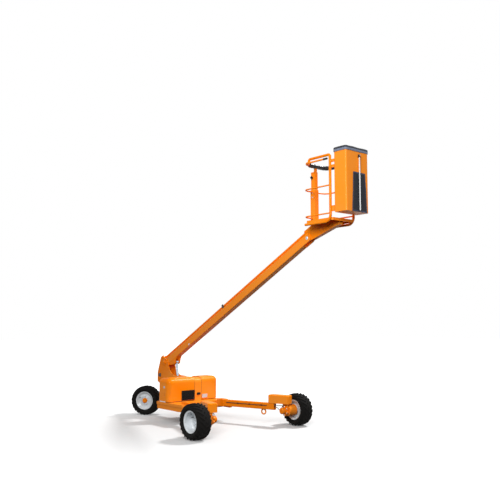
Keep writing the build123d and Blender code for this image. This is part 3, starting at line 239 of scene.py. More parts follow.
# Sprayed orange enamel on welded steel: a soft gloss with a slight ripple, rubbed pale on the edges
ORANGE_ENAMEL = Finish("orange_enamel", "orange_paint", "F58400", "EA7700", 0.42, Pattern.PEEL, 14, 0.25,
                       mottle_mm=500, ior=1.14, coat=0.06, dust=0.06, wear=0.3)
# White enamel on a pressed rim: clean gloss with grey road film in the dish
RIM_ENAMEL = Finish("white_rim_enamel", "rim_white", "DFE4E8", "B4BBC0", 0.32, Pattern.PEEL, 12, 0.2,
                    mottle_mm=120, coat=0.2, dust=0.25)
# Vulcanised tyre rubber: matt black that greys where it is scuffed
TYRE_RUBBER = Finish("tyre_rubber", "tyre_rubber", "090909", "101011", 0.85, Pattern.GRAIN, 7, 0.4,
                     mottle_mm=90, ior=1.22, dust=0.03)
# Ground and chromed rod: mirror with faint wiping marks
CHROMED_ROD = Finish("chromed_rod", "chromed_steel", "BAC6D3", "A6B2BF", 0.10, Pattern.SCRATCH, 4, 0.05,
                     metallic=1.0, rough_spread=0.03)
# Zinc-plated steel: soft grey metal with faint crystals
ZINC_PLATE = Finish("zinc_plated_steel", "zinc_steel", "C9CDD1", "AEB4B9", 0.36, Pattern.SPANGLE, 9, 0.08,
                    mottle_mm=60, metallic=1.0)
# Moulded ABS: matt black with a light grain
BLACK_ABS = Finish("black_abs", "black_plastic", "0B0B0C", "131315", 0.6, Pattern.GRAIN, 5, 0.2,
                   mottle_mm=80, ior=1.3)
# Dark brown-black brush paint on steel brackets and pipes. On the leg pipes this dark colour is also painted
# shade: it stands for the shadow line along each leg and the shade under its wheel box
DARK_PAINT_AND_SHADE = Finish("dark_paint_and_painted_shade", "dark_steel", "2A1A12", "3A2618", 0.5, Pattern.PEEL, 8, 0.3,
                    mottle_mm=80)
# Cast aluminium engine case: grey with a sandy skin
CAST_ALUMINIUM = Finish("cast_aluminium", "engine_casting", "6D7073", "5B5E61", 0.55, Pattern.GRAIN, 6, 0.4,
                        metallic=0.8)
# Grey enamel on a blank plate
GREY_ENAMEL = Finish("grey_plate_enamel", "plate_grey", "C3C7CB", "B3B8BD", 0.4, Pattern.PEEL, 10, 0.1,
                     mottle_mm=80)
# Embossed vinyl over foam: black with a soft sheen
BLACK_VINYL = Finish("black_vinyl", "black_vinyl", "0B0C0F", "131418", 0.42, Pattern.GRAIN, 6, 0.35,
                     mottle_mm=60, ior=1.35, sheen=0.04)
# Moulded grip rubber
GRIP_RUBBER = Finish("grip_rubber", "black_rubber", "141415", "1C1C1E", 0.65, Pattern.GRAIN, 4, 0.2,
                     mottle_mm=50)
# Closed-cell foam edging: blue-grey with open pores, drawn coarse enough to show
GREY_FOAM = Finish("grey_edge_foam", "grey_foam", "747C8E", "565D6D", 0.85, Pattern.PORES, 9, 0.8,
                   mottle_mm=45)
# Dark wrap over the top of the foam
DARK_FOAM = Finish("dark_foam_wrap", "grey_foam", "1B1D24", "2A2D37", 0.8, Pattern.PORES, 9, 0.5,
                   mottle_mm=45)
# Coated canvas: near-black navy, threads drawn at 5 mm so that they show
NAVY_CANVAS = Finish("navy_canvas", "navy_canvas", "101218", "1A1E28", 0.75, Pattern.WEAVE, 5, 0.4,
                     mottle_mm=70, ior=1.35, sheen=0.1)
# Navy webbing that binds the canvas
NAVY_WEBBING = Finish("navy_webbing", "navy_canvas", "17233F", "0F182D", 0.6, Pattern.WEAVE, 4, 0.4,
                      mottle_mm=50, sheen=0.2)
# Twisted polyester rope: off-white fibres
PALE_ROPE = Finish("pale_rope", "pale_rope", "DCDDDD", "B9BBBC", 0.75, Pattern.FIBRE, 4, 0.3,
                   mottle_mm=40, sheen=0.25)

NODE_FINISHES = {finish.slot: finish for finish in (
    ORANGE_ENAMEL, TYRE_RUBBER, RIM_ENAMEL, CAST_ALUMINIUM, BLACK_ABS, GREY_ENAMEL, ZINC_PLATE, DARK_PAINT_AND_SHADE,
    CHROMED_ROD, BLACK_VINYL, GRIP_RUBBER, GREY_FOAM, NAVY_CANVAS, PALE_ROPE)}


def dress_nodes() -> None:
    """Give every node of the frame the finish of its record slot."""
    for row in frame["record"]["subparts"]:
        node = frame["nodes"][row["node"]]
        node.data.materials.clear()
        node.data.materials.append(NODE_FINISHES[row["material_slot"]].material())


def middle(node: str) -> Vector:
    """Middle of a node's box."""
    low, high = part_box(node)
    return (low + high) / 2


def joint(name: str) -> dict:
    """A joint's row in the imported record."""
    return next(row for row in frame["record"]["behaviour"]["joints"] if row["name"] == name)


def pivot(name: str) -> Vector:
    """The place of a joint."""
    return Vector(joint(name)["pos_m"])


def axle(name: str) -> Vector:
    """The direction of a joint."""
    return Vector(joint(name)["axis"])


def rectangle(centre: Vector, across: Vector, up: Vector) -> Path:
    """Corners of a rectangle from its middle and its half sides, the first one again at the end."""
    return [centre + across * w + up * h for w, h in ((-1, -1), (1, -1), (1, 1), (-1, 1), (-1, -1))]


def stand(name: str, data: bpy.types.ID) -> bpy.types.Object:
    """Put data into the scene as an object.

    Args:
        name: name of the object.
        data: mesh, lamp or camera that it shows.

    Returns:
        The new object.
    """
    made = bpy.data.objects.new(name, data)
    bpy.context.scene.collection.objects.link(made)
    return made


def turns(count: int) -> list[float]:
    """Angles spaced evenly round a circle."""
    return [2 * math.pi * i / count for i in range(count)]


def circle(at: Vector, axis: Vector, radius: float, count: int, run: float = 0.0) -> Path:
    """Points spaced evenly on a circle about an axis, a run along it from a point."""
    turn = axis.to_track_quat("Z", "Y")
    return [at + turn @ Vector((radius * math.cos(a), radius * math.sin(a), run)) for a in turns(count)]


def along(points: Path, step: float) -> Path:
    """Points spaced along a path of straight runs.

    Args:
        points: the path's corners.
        step: the longest spacing.

    Returns:
        The spaced points, ends included.
    """
    spaced = [points[0]]
    for start, end in zip(points, points[1:]):
        count = max(1, math.ceil((end - start).length / step))
        spaced += [start.lerp(end, i / count) for i in range(1, count + 1)]
    return spaced


def bent(points: Path, reach: float, steps: int = 8) -> Path:
    """Round the corners of a path of straight runs.

    Args:
        points: the path's corners.
        reach: distance from a corner at which its bend starts.
        steps: pieces of each bend.

    Returns:
        The rounded path.
    """
    path = [points[0]]
    for before, corner, after in zip(points, points[1:], points[2:]):
        start = corner + (before - corner).normalized() * reach
        end = corner + (after - corner).normalized() * reach
        for i in range(steps + 1):
            share = i / steps
            path.append(start.lerp(corner, share).lerp(corner.lerp(end, share), share))
    return path + [points[-1]]


class Fitting(Protocol):
    """Pieces that are fitted to the nodes."""

    def dress(self) -> None:
        """Build the meshes and dress them."""


class Shape:
    """Collects rings and rows of points into one mesh."""

    def __init__(self) -> None:
        """Start empty."""
        self.points: Path = []
        self.faces: list[tuple[int, ...]] = []

    def rows(self, rows: list[Path], around: bool = True, capped: bool = False,
             loop: bool = False) -> "Shape":
        """Skin rows of equally many points.

        Args:
            rows: the rows, one after the other along the shape.
            around: whether each row closes on itself.
            capped: whether the first and last rows are filled.
            loop: whether the last row joins the first.

        Returns:
            This shape.
        """
        start = len(self.points)
        count = len(rows[0])
        total = count * len(rows)
        for row in rows:
            self.points += row
        for i in range(len(rows) if loop else len(rows) - 1):
            here, there = i * count, (i + 1) * count % total
            for j in range(count if around else count - 1):
                step = (j + 1) % count
                self.faces.append(tuple(start + n for n in (here + j, here + step, there + step, there + j)))
        if capped:
            self.faces.append(tuple(range(start, start + count)))
            self.faces.append(tuple(range(start + total - count, start + total)))
        return self

    def lathe(self, at: Vector, axis: Vector, profile: list[Pair] | Pairs, steps: int) -> "Shape":
        """Turn a profile about an axis; it holds distances along it from a point, and radii."""
        return self.rows([circle(at, axis, radius, steps, run) for run, radius in profile], capped=True)

    def tube(self, path: Path, radii: list[float], sides: int = 12) -> "Shape":
        """Sweep a ring along a path without twist.

        Args:
            path: the centre line.
            radii: radius at each of its points.
            sides: points in each ring.

        Returns:
            This shape.
        """
        rings = []
        side = None
        for i, point in enumerate(path):
            ahead = (path[min(i + 1, len(path) - 1)] - path[max(i - 1, 0)]).normalized()
            side = ahead.orthogonal() if side is None else side - ahead * side.dot(ahead)
            side.normalize()
            up = ahead.cross(side)
            rings.append([point + radii[i] * (math.cos(a) * side + math.sin(a) * up) for a in turns(sides)])
        return self.rows(rings, capped=True)

    def slab(self, centre: Vector, size: Triple, bevel: float, turn: Matrix = Matrix.Identity(3)) -> "Shape":
        """Box with bevelled edges.

        Args:
            centre: middle of the box.
            size: lengths along its own axes.
            bevel: width of the bevel in metres.
            turn: rotation of its own axes.

        Returns:
            This shape.
        """
        wide, deep, high = [value / 2 for value in size]
        rings = []
        for z, inset in ((-high, bevel), (bevel - high, 0.0), (high - bevel, 0.0), (high, bevel)):
            x, y = wide - inset, deep - inset
            corners = [(x, bevel - y), (x, y - bevel), (x - bevel, y), (bevel - x, y),
                       (-x, y - bevel), (-x, bevel - y), (bevel - x, -y), (x - bevel, -y)]
            rings.append([centre + turn @ Vector((u, v, z)) for u, v in corners])
        return self.rows(rings, capped=True)

    def bolt(self, at: Vector, axis: Vector, size: float) -> "Shape":
        """Hexagon head on a washer at a point, facing along an axis; its size is its corner radius."""
        self.lathe(at, axis, [(0, 1.5 * size), (0.25 * size, 1.5 * size)], 20)
        return self.lathe(at, axis, [(0.25 * size, size), (size, size), (1.15 * size, 0.85 * size)], 6)

    def make(self, name: str, finish: Finish, body: str, replaces: str = "") -> bpy.types.Object:
        """Turn the collected faces into an object that moves with a body.

        Args:
            name: name of the object.
            finish: its finish.
            body: the body it is fixed to.
            replaces: the plain node that it stands for, if there is one.

        Returns:
            The new object.
        """
        mesh = bpy.data.meshes.new(name)
        mesh.from_pydata(self.points, [], self.faces)
        work = bmesh.new()
        work.from_mesh(mesh)
        bmesh.ops.recalc_face_normals(work, faces=work.faces)
        work.to_mesh(mesh)
        work.free()
        mesh.shade_smooth()
        mesh.set_sharp_from_angle(angle=SHARP_EDGE)
        mesh.materials.append(finish.material())
        made = stand(name, mesh)
        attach(made, body)
        if replaces:
            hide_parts(replaces)
        return made


@dataclass
class LegPipes:
    """Steel oil pipes, their nuts and clips, and the weld beads of one leg; the pipes' dark colour is
    painted shade along the leg.
    """

    name: str
    side: int
    root: Pair = (-0.9457, 0.4840)
    end: Pair = (0.2543, 0.8800)
    half_width: float = 0.050
    low: float = 0.348
    high: float = 0.488
    box_lap: float = 0.141
    motor_back: float = 0.442
    pipe: float = 0.007
    bend: float = 0.020
    # The pipes are dark as painted shade: the one along the inner side lies on the leg's shadow line
    # The pipe along the leg's inner side: place across it, shares of that at its ends, run and clips,
    # height, start, and stops before the leg's end
    inner: float = -0.057
    tip_share: float = 0.5
    run_share: float = 1.2
    clip_share: float = 1.1
    level: float = 0.436
    start: float = 0.060
    side_stop: float = 0.190
    tail_stop: float = 0.160
    tip_inset: float = 0.001
    # Distance along a nut and its radius
    nut: Pairs = ((0, 0.013), (0.016, 0.013), (0.018, 0.010))
    clip: Triple = (0.026, 0.026, 0.024)
    clip_bevel: float = 0.004
    clip_pitch: float = 0.30

    def spot(self, run: float, across: float, z: float) -> Vector:
        """A place on the leg.

        Args:
            run: distance along the leg from its root, or back from its end where it is negative.
            across: distance outward from its middle.
            z: height.

        Returns:
            Its place.
        """
        root, end = Vector(self.root), Vector(self.end)
        ahead = (end - root).normalized()
        flat = (end if run < 0 else root) + ahead * run + Vector((-ahead.y, ahead.x)) * across
        return Vector((flat.x, self.side * flat.y, z))

    def dress(self) -> None:
        """Lay the pipes, nuts, clips and beads."""
        pipes, nuts, clips = Shape(), Shape(), Shape()
        for path in self.pipe_paths():
            line = bent(path, self.bend)
            pipes.tube(line, [self.pipe] * len(line))
            for seat, inward in ((line[0], line[1]), (line[-1], line[-2])):
                nuts.lathe(seat, (inward - seat).normalized(), self.nut, 6)
        straight = self.spot(-self.side_stop, 0, 0) - self.spot(self.start, 0, 0)
        turn = Matrix.Rotation(math.atan2(straight.y, straight.x), 3, "Z")
        for i in range(1, math.ceil(straight.length / self.clip_pitch)):
            place = self.spot(self.start + self.clip_pitch * i, self.clip_share * self.inner, self.level)
            clips.slab(place, self.clip, self.clip_bevel, turn)
        # Painted shade: the pipes' dark colour stands for the shadow line along the leg and the shade under
        # its wheel box
        pipes.make(f"{self.name}_shade_dark_leg_pipes", DARK_PAINT_AND_SHADE, "chassis")
        nuts.make(f"{self.name}_pipe_nuts", ZINC_PLATE, "chassis")
        clips.make(f"{self.name}_pipe_clips", BLACK_ABS, "chassis")
        Welds(f"{self.name}_leg_welds", "chassis", self.weld_paths()).dress()

    def pipe_paths(self) -> list[Path]:
        """One pipe along the leg's inner side and two from its end to the motor.

        Returns:
            The corners of each pipe.
        """
        ahead = (self.spot(0.2, 0, 0) - self.spot(0.1, 0, 0)).normalized()
        back = pivot(f"{self.name}_wheel_spin") - Vector((0, self.side * self.motor_back, 0))
        corners = ((self.start, self.tip_share), (self.start, self.run_share),
                   (-self.side_stop, self.run_share), (-self.tail_stop, self.tip_share))
        paths = [[self.spot(run, share * self.inner, self.level) for run, share in corners]]
        # Place across the leg, height, straight run, and X and Z of two corners from the motor's back
        rows = ((-0.020, self.high - 0.040, 0.070, (0.0, 0.108), (0.0, 0.060)),
                (0.018, self.low + 0.050, 0.045, (-0.105, 0.016), (-0.058, 0.016)))
        for across, height, run, *ends in rows:
            tip = self.spot(-self.tip_inset, across, height)
            paths.append([tip, tip + ahead * run] + [back + Vector((x, 0, z)) for x, z in ends])
        return paths

    def weld_paths(self) -> list[Path]:
        """Beads round the leg's root and behind its wheel box.

        Returns:
            The beads' centre lines.
        """
        slope = (self.end[1] - self.root[1]) / (self.end[0] - self.root[0])
        across = LEFT * self.side * self.half_width * math.hypot(1, slope)
        centre = self.spot(0.0, 0.0, (self.low + self.high) / 2)
        ring = rectangle(centre, across, UP * (self.high - self.low) / 2)
        behind = [self.spot(-self.box_lap, sign * self.half_width, self.high) for sign in (-1, 1)]
        return [ring, behind]


@dataclass
class Wheel:
    """Nuts and valve of one wheel."""

    name: str
    outward: float
    face: float
    nut_circle: float = 0.078
    nut_count: int = 5
    nut_size: float = 0.013
    # Distance along the stud or the valve and its radius
    stud: Pairs = ((0.012, 0.007), (0.024, 0.007), (0.026, 0.005))
    valve: Pairs = ((0, 0.010), (0.008, 0.009), (0.010, 0.006), (0.034, 0.006), (0.034, 0.007),
                    (0.044, 0.007))
    # The valve stands at one of the even places round its circle
    valve_circle: float = 0.140
    valve_places: int = 7
    valve_place: int = 3

    def dress(self) -> None:
        """Fit the nuts and the valve."""
        axis = axle(f"{self.name}_spin") * self.outward
        seat = pivot(f"{self.name}_spin") + axis * self.face
        nuts = Shape()
        for point in circle(seat, axis, self.nut_circle, self.nut_count):
            nuts.bolt(point, axis, self.nut_size)
            nuts.lathe(point, axis, self.stud, 12)
        nuts.make(f"{self.name}_nuts", ZINC_PLATE, self.name)
        stem = circle(seat, axis, self.valve_circle, self.valve_places)[self.valve_place]
        Shape().lathe(stem, axis, self.valve, 14).make(f"{self.name}_valve", GRIP_RUBBER, self.name)


@dataclass
class PinEnds:
    """Lock plates and bolts on the ends of a hinge pin."""

    name: str
    body: str
    at: Vector
    half_width: float
    plate: float
    bolt: float
    finish: Finish = ORANGE_ENAMEL
    # Distance along a lock plate, and what its radius loses there
    plate_edge: Pairs = ((0, 0), (0.005, 0), (0.007, 0.002))
    bolt_lift: float = 0.006

    def dress(self) -> None:
        """Fit both ends."""
        ends = Shape()
        for side in (-1, 1):
            out = Vector((0, side, 0))
            seat = Vector((self.at.x, side * self.half_width, self.at.z))
            ends.lathe(seat, out, [(run, self.plate - cut) for run, cut in self.plate_edge], 28)
            ends.bolt(seat + out * self.bolt_lift, out, self.bolt)
        ends.make(f"{self.name}_ends", self.finish, self.body)


@dataclass
class Tyre:
    """Moulded tyre with round shoulders and slanted lugs, in place of its flat-sided node."""

    side: str
    phase: float
    lugs: int = 22
    slant: float = math.radians(42)
    lug_from: float = 0.006
    lug_to: float = 0.156
    lug_inset: float = 0.0005
    lug_half: float = 0.0145
    lug_height: float = 0.0138
    lug_growth: float = 0.007
    lug_steps: int = 14
    # Sideways share of a lug's half width, and height share between the tread and its top
    lug_section: Pairs = ((-1.0, -0.2), (-0.86, 0.8), (-0.72, 1.0), (0.72, 1.0), (0.86, 0.8), (1.0, -0.2))
    steps: int = 96
    # Distance from the middle and radius, from the bead to the tread
    profile: Pairs = (
        (0.1085, 0.200), (0.1085, 0.218), (0.130, 0.227), (0.148, 0.242), (0.156, 0.258), (0.1585, 0.274),
        (0.1545, 0.289), (0.144, 0.302), (0.127, 0.312), (0.098, 0.321), (0.050, 0.328), (0.0, 0.330))
    # Row of the profile at which the tyre is widest
    widest: int = 5

    def base(self, reach: float) -> float:
        """Radius of the tread or shoulder at a distance from the middle.

        Args:
            reach: distance from the tyre's middle.

        Returns:
            The radius there.
        """
        outer = self.profile[self.widest:]
        for (wide, low), (narrow, high) in zip(outer, outer[1:]):
            if reach >= narrow:
                return low + (high - low) * min(1.0, max(0.0, (wide - reach) / (wide - narrow)))
        return outer[-1][1]

    def spot(self, across: float, radius: float, angle: float) -> Vector:
        """A place on the tyre.

        Args:
            across: distance from the tyre's middle along its axle.
            radius: distance from the axle.
            angle: turn forward from the top.

        Returns:
            Its place.
        """
        axis = axle(f"{self.side}_wheel_spin")
        out = math.sin(angle) * axis.cross(UP) + math.cos(angle) * UP
        return pivot(f"{self.side}_wheel_spin") + axis * across + radius * out

    def lug(self, shape: Shape, turn: float, half: int) -> None:
        """Add one lug that runs outward and back over a shoulder.

        Args:
            shape: the tyre's shape.
            turn: angle of the lug's middle from the top.
            half: 1 or -1, the side of the tyre.
        """
        centre = (self.lug_from + self.lug_to) / 2
        ahead, aside = self.lug_half * math.cos(self.slant), self.lug_half * math.sin(self.slant)
        rings = []
        for i in range(self.lug_steps + 1):
            share = i / self.lug_steps
            reach = self.lug_from + aside + (self.lug_to - self.lug_from) * share
            height = self.lug_height + self.lug_growth * share ** 2
            ring = []
            for wide, high in self.lug_section:
                across = min(reach - wide * aside, self.lug_to - self.lug_inset)
                radius = self.base(across) + height * high
                round_on = (centre - reach) * math.tan(self.slant) - wide * ahead
                ring.append(self.spot(half * across, radius, turn + round_on / self.base(0.0)))
            rings.append(ring)
        shape.rows(rings, capped=True)

    def dress(self) -> None:
        """Make the tyre."""
        half = [(-across, radius) for across, radius in self.profile]
        whole = half + list(self.profile[-2::-1])
        tyre = Shape().rows([[self.spot(across, radius, angle) for angle in turns(self.steps)]
                             for across, radius in whole], loop=True)
        pitch = 2 * math.pi / self.lugs
        for side in (-1, 1):
            for i in range(self.lugs):
                self.lug(tyre, pitch * (i + self.phase * side / 4), side)
        tyre.make(f"{self.side}_lugged_tyre", TYRE_RUBBER, f"{self.side}_wheel", f"{self.side}_tyre")


@dataclass
class Welds:
    """Ripples of weld metal on one body, painted with the frame."""

    name: str
    body: str
    paths: list[Path]
    radius: float = 0.005
    thin: float = 0.75
    pitch: float = 0.012

    def dress(self) -> None:
        """Lay the beads."""
        beads = Shape()
        for path in self.paths:
            line = along(path, self.pitch / 2)
            beads.tube(line, [self.radius * (1.0 if i % 2 else self.thin) for i in range(len(line))], 6)
        beads.make(self.name, ORANGE_ENAMEL, self.body)


@dataclass
class Bolts:
    """Zinc bolt heads on one face."""

    name: str
    body: str
    axis: Vector
    points: Path
    size: float

    def dress(self) -> None:
        """Fit the heads."""
        heads = Shape()
        for point in self.points:
            heads.bolt(point, self.axis, self.size)
        heads.make(self.name, ZINC_PLATE, self.body)


@dataclass
class Plates:
    """Thin bevelled plates of one finish."""

    name: str
    body: str
    finish: Finish
    # Centre and size of each plate
    boxes: list[tuple[Vector, Triple]]

    def dress(self) -> None:
        """Fit the plates."""
        plates = Shape()
        for centre, size in self.boxes:
            plates.slab(centre, size, min(size) / 4)
        plates.make(self.name, self.finish, self.body)


@dataclass
class FloorTread:
    """Raised bars of anti-slip plate on the platform's floor."""

    pitch: float = 0.052
    margin: float = 0.05
    side_margin: float = 0.074
    bar: Triple = (0.034, 0.008, 0.003)
    bevel: float = 0.001

    def dress(self) -> None:
        """Raise the bars, each square to its neighbours."""
        low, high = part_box("platform_floor")
        rows = int((high.x - low.x - 2 * self.margin) / self.pitch)
        columns = int((high.y - low.y - 2 * self.side_margin) / self.pitch)
        start = Vector((low.x + self.margin, low.y + self.side_margin, high.z))
        bars = Shape()
        for i in range(rows + 1):
            for j in range(columns + 1):
                turn = Matrix.Rotation(math.radians(45 if (i + j) % 2 else -45), 3, "Z")
                bars.slab(start + Vector((i * self.pitch, j * self.pitch, 0)), self.bar, self.bevel, turn)
        bars.make("floor_tread", ORANGE_ENAMEL, "platform")


@dataclass
class LiftGland:
    """Gland nut, wiper and oil ports of the lift cylinder."""

    barrel_radius: float = 0.046
    rod_radius: float = 0.028
    barrel_end: float = 0.640
    # Distance from the barrel's end, and growth over the radius of the barrel or the rod
    gland: Pairs = ((-0.030, 0.0005), (-0.028, 0.005), (-0.004, 0.005), (0.0, 0.002))
    wiper: Pairs = ((0.006, 0.010), (0.012, 0.006), (0.012, 0.001))
    port_from_base: float = 0.110
    port_from_end: float = 0.070
    port_sink: float = 0.002
    # Distance along a port's boss, nut and stub and its radius, and the sides of each
    port: tuple[tuple[Pairs, int], ...] = (
        (((0, 0.014), (0.012, 0.014), (0.014, 0.012)), 20),
        (((0.012, 0.011), (0.024, 0.011), (0.025, 0.009)), 6),
        (((0.024, 0.008), (0.034, 0.008), (0.036, 0.006)), 16))

    def dress(self) -> None:
        """Fit the gland on the barrel's end and a port near each end."""
        base = pivot("barrel_swing")
        axis = axle("rod_slide")
        profile = [(run, self.barrel_radius + grow) for run, grow in self.gland]
        profile += [(run, self.rod_radius + grow) for run, grow in self.wiper]
        gland = Shape().lathe(base + axis * self.barrel_end, axis, profile, 40)
        gland.make("lift_gland", DARK_PAINT_AND_SHADE, "lift_barrel")
        side = axis.cross(LEFT)
        side = side if side.x > 0 else -side
        ports = Shape()
        for run in (self.port_from_base, self.barrel_end - self.port_from_end):
            foot = base + axis * run + side * (self.barrel_radius - self.port_sink)
            for turned, sides in self.port:
                ports.lathe(foot, side, turned, sides)
        ports.make("lift_ports", ZINC_PLATE, "lift_barrel")


@dataclass
class HoodSeals:
    """Rubber strips in the gaps between the lids and the band."""

    corner: float = 0.105
    corner_steps: int = 12
    radius: float = 0.0034
    foot: float = 0.02

    def dress(self) -> None:
        """Lay a strip in each gap, over the top from foot to foot."""
        low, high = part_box("engine_hood")
        band_low, band_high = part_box("hood_band")
        rear, front, foot = low.x + self.radius, high.x - self.radius, band_low.z + self.foot
        bend_z = band_high.z - self.radius - self.corner
        strips = Shape()
        for y in (band_low.y - self.radius, band_high.y + self.radius):
            path = [Vector((rear, y, foot))]
            for bend_x, start in ((rear + self.corner, 180), (front - self.corner, 90)):
                for i in range(self.corner_steps + 1):
                    angle = math.radians(start - 90 * i / self.corner_steps)
                    path.append(Vector((bend_x + self.corner * math.cos(angle), y,
                                        bend_z + self.corner * math.sin(angle))))
            path.append(Vector((front, y, foot)))
            strips.tube(path, [self.radius] * len(path), 8)
        strips.make("hood_seals", GRIP_RUBBER, "chassis")


@dataclass
class BackRest:
    """Padded sleeve with stitched rounds on the top rail."""

    bend: float = 0.130
    bend_steps: int = 30
    step: float = 0.006
    stitch_pitch: float = 0.118
    stitch_depth: float = 0.10
    stitch_width: float = 0.009
    # Share of the radius at the ends, and the length over which it grows to the whole
    end_share: float = 0.66
    end_length: float = 0.025
    ripple: float = 0.012
    ripple_waves: Pair = (91, 37)
    fill: float = 0.85

    def path(self) -> Path:
        """Centre line, from the right rear round the left corner to its front end.

        Returns:
            Evenly spaced points.
        """
        low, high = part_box("back_rest")
        level = (low.z + high.z) / 2
        rear, left = low.x + (high.z - low.z) / 2, high.y - (high.z - low.z) / 2
        corner = Vector((rear + self.bend, left - self.bend, level))
        turn = [corner + self.bend * Vector((-math.cos(a), math.sin(a), 0))
                for a in [math.pi / 2 * i / self.bend_steps for i in range(self.bend_steps + 1)]]
        return along([Vector((rear, low.y, level))] + turn + [Vector((high.x, left, level))], self.step)

    def dress(self) -> None:
        """Make the sleeve in place of its plain node."""
        line = self.path()
        low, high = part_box("back_rest")
        radius = (high.z - low.z) / 2
        radii = []
        for i in range(len(line)):
            run = i * self.step
            end = min(i, len(line) - 1 - i) * self.step
            off = (run + self.stitch_pitch / 2) % self.stitch_pitch - self.stitch_pitch / 2
            dip = self.stitch_depth * math.exp(-(off / self.stitch_width) ** 2)
            growth = (1 - self.end_share) * math.sqrt(min(1.0, end / self.end_length))
            round_end = min(1.0, self.end_share + growth)
            ripple = self.ripple * math.prod(math.sin(run * wave) for wave in self.ripple_waves)
            radii.append(radius * (1 - dip) * round_end * (1 - abs(ripple)))
        sleeve = Shape().tube(line, radii, 28).make("padded_sleeve", BLACK_VINYL, "platform", "back_rest")


@dataclass
class RimPad:
    """Foam edging on the bin, rounded on top and slit where it grips the edge."""

    corner: float = 0.030
    corner_steps: int = 8
    step: float = 0.03
    wrap_from: float = 0.5
    squash: float = 0.004
    squash_waves: Pair = (17, 21)
    fill: float = 0.9
    # Sideways and upward, as shares of the half width and the height, up one side of the section
    section: Pairs = ((0.8, 0.0), (1.0, 0.08), (0.96, 0.3), (1.0, 0.52), (1.0, 0.72), (0.82, 0.92),
                      (0.4, 1.0))

    def dress(self) -> None:
        """Make the edging in place of its plain node."""
        low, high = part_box("bin_rim_pad")
        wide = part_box("fruit_bin")[0].x - low.x
        height = high.z - low.z
        section = [(-u, v) for u, v in self.section] + list(self.section[::-1])
        rings = []
        for point, out in self.loop():
            wave = math.sin(point.y * self.squash_waves[1] + point.x * self.squash_waves[0])
            tall = height - self.squash * (0.5 + 0.5 * wave)
            rings.append([Vector((point.x + out.x * u * wide, point.y + out.y * u * wide, low.z + v * tall))
                          for u, v in section])
        pad = Shape().rows(rings, loop=True).make("foam_edging", GREY_FOAM, "platform", "bin_rim_pad")
        pad.data.materials.append(DARK_FOAM.material())
        for face in pad.data.polygons:
            face.material_index = int(face.center.z > low.z + self.wrap_from * height)

    def loop(self) -> list[tuple[Vector, Vector]]:
        """Round the bin's edge.

        Returns:
            Points of the edge with their outward directions.
        """
        low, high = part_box("fruit_bin")
        points = []
        corners = [(high.x, high.y), (low.x, high.y), (low.x, low.y), (high.x, low.y)]
        for quarter, (x, y) in enumerate(corners):
            inner = Vector((x - math.copysign(self.corner, x - (low.x + high.x) / 2),
                            y - math.copysign(self.corner, y)))
            for i in range(self.corner_steps + 1):
                angle = (quarter + i / self.corner_steps) * math.pi / 2
                out = Vector((math.cos(angle), math.sin(angle)))
                points.append((inner + self.corner * out, out))
        dense = []
        for (start, out), (end, after) in zip(points, points[1:] + points[:1]):
            count = max(1, math.ceil((end - start).length / self.step))
            dense += [(start.lerp(end, i / count), out.lerp(after, i / count).normalized())
                      for i in range(count)]
        return dense


@dataclass
class ChuteFlap:
    """Canvas flap with a bound edge, hung on the bin's front."""

    top_width: float = 0.320
    low_width: float = 0.400
    middle_y: float = 0.045
    columns: int = 40
    rows: int = 72
    hem_width: float = 0.026
    hem_steps: int = 3
    # Distance of the bindings in front of the cloth, on the sides and on the top and bottom
    side_lift: float = 0.0016
    end_lift: float = 0.0017
    lift: float = 0.004
    wrinkle: float = 0.006

    def point(self, across: float, down: float, front: float = 0.0) -> Vector:
        """A point of the cloth.

        Args:
            across: 0 on the right edge to 1 on the left.
            down: 0 at the top edge to 1 at the bottom.
            front: distance in front of the cloth.

        Returns:
            Its place.
        """
        low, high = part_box("chute_flap")
        width = self.top_width + (self.low_width - self.top_width) * down
        # Waves over the cloth's width and length, in radians
        fold = math.sin(across * 9 + 3 * math.sin(down * 5)) * math.sin(down * 17 + across * 4)
        drape = 0.5 + 0.5 * math.sin(across * 14 + down * 3)
        hang = math.sin(math.pi * min(1.0, down * 1.2) * 0.8)
        off = self.lift + self.wrinkle * (0.5 + 0.35 * fold) * drape * hang
        return Vector((low.x + off + front, self.middle_y + (across - 0.5) * width,
                       high.z - (high.z - low.z) * down))

    def dress(self) -> None:
        """Make the cloth and its binding in place of the plain node."""
        low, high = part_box("chute_flap")
        length = high.z - low.z
        across = [c / self.columns for c in range(self.columns + 1)]
        down = [r / self.rows for r in range(self.rows + 1)]
        hem_shares = [k / self.hem_steps for k in range(self.hem_steps + 1)]
        grid = [[self.point(c, r) for c in across] for r in down]
        cloth = Shape().rows(grid, around=False).make("flap_cloth", NAVY_CANVAS, "platform", "chute_flap")
        hem = Shape()
        for side in (0, 1):
            inner = abs(side - self.hem_width / self.low_width)
            hem.rows([[self.point(side + (inner - side) * k, r, self.side_lift) for k in hem_shares]
                      for r in down], around=False)
        deep = self.hem_width / length
        for start in (0.0, 1.0 - deep):
            hem.rows([[self.point(c, start + deep * k, self.end_lift) for c in across]
                      for k in hem_shares], around=False)
        binding = hem.make("flap_binding", NAVY_WEBBING, "platform")


@dataclass
class ChuteRope:
    """Three-strand rope pulled taut down the flap."""

    strands: int = 3
    lay: float = 0.075
    step: float = 0.004
    # Share of the rope's radius from its middle to a strand's middle; the strand takes up the rest
    core_share: float = 0.48

    def dress(self) -> None:
        """Make the strands in place of the plain node."""
        low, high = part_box("chute_rope")
        core = middle("chute_rope")
        radius = (high.y - low.y) / 2
        swing = radius * self.core_share
        count = math.ceil((high.z - low.z) / self.step)
        rope = Shape()
        for strand in range(self.strands):
            path = []
            for i in range(count + 1):
                z = low.z + (high.z - low.z) * i / count
                angle = 2 * math.pi * (z / self.lay + strand / self.strands)
                path.append(Vector((core.x + swing * math.cos(angle), core.y + swing * math.sin(angle), z)))
            rope.tube(path, [radius - swing] * len(path), 8)
        rope.make("twisted_rope", PALE_ROPE, "platform", "chute_rope")


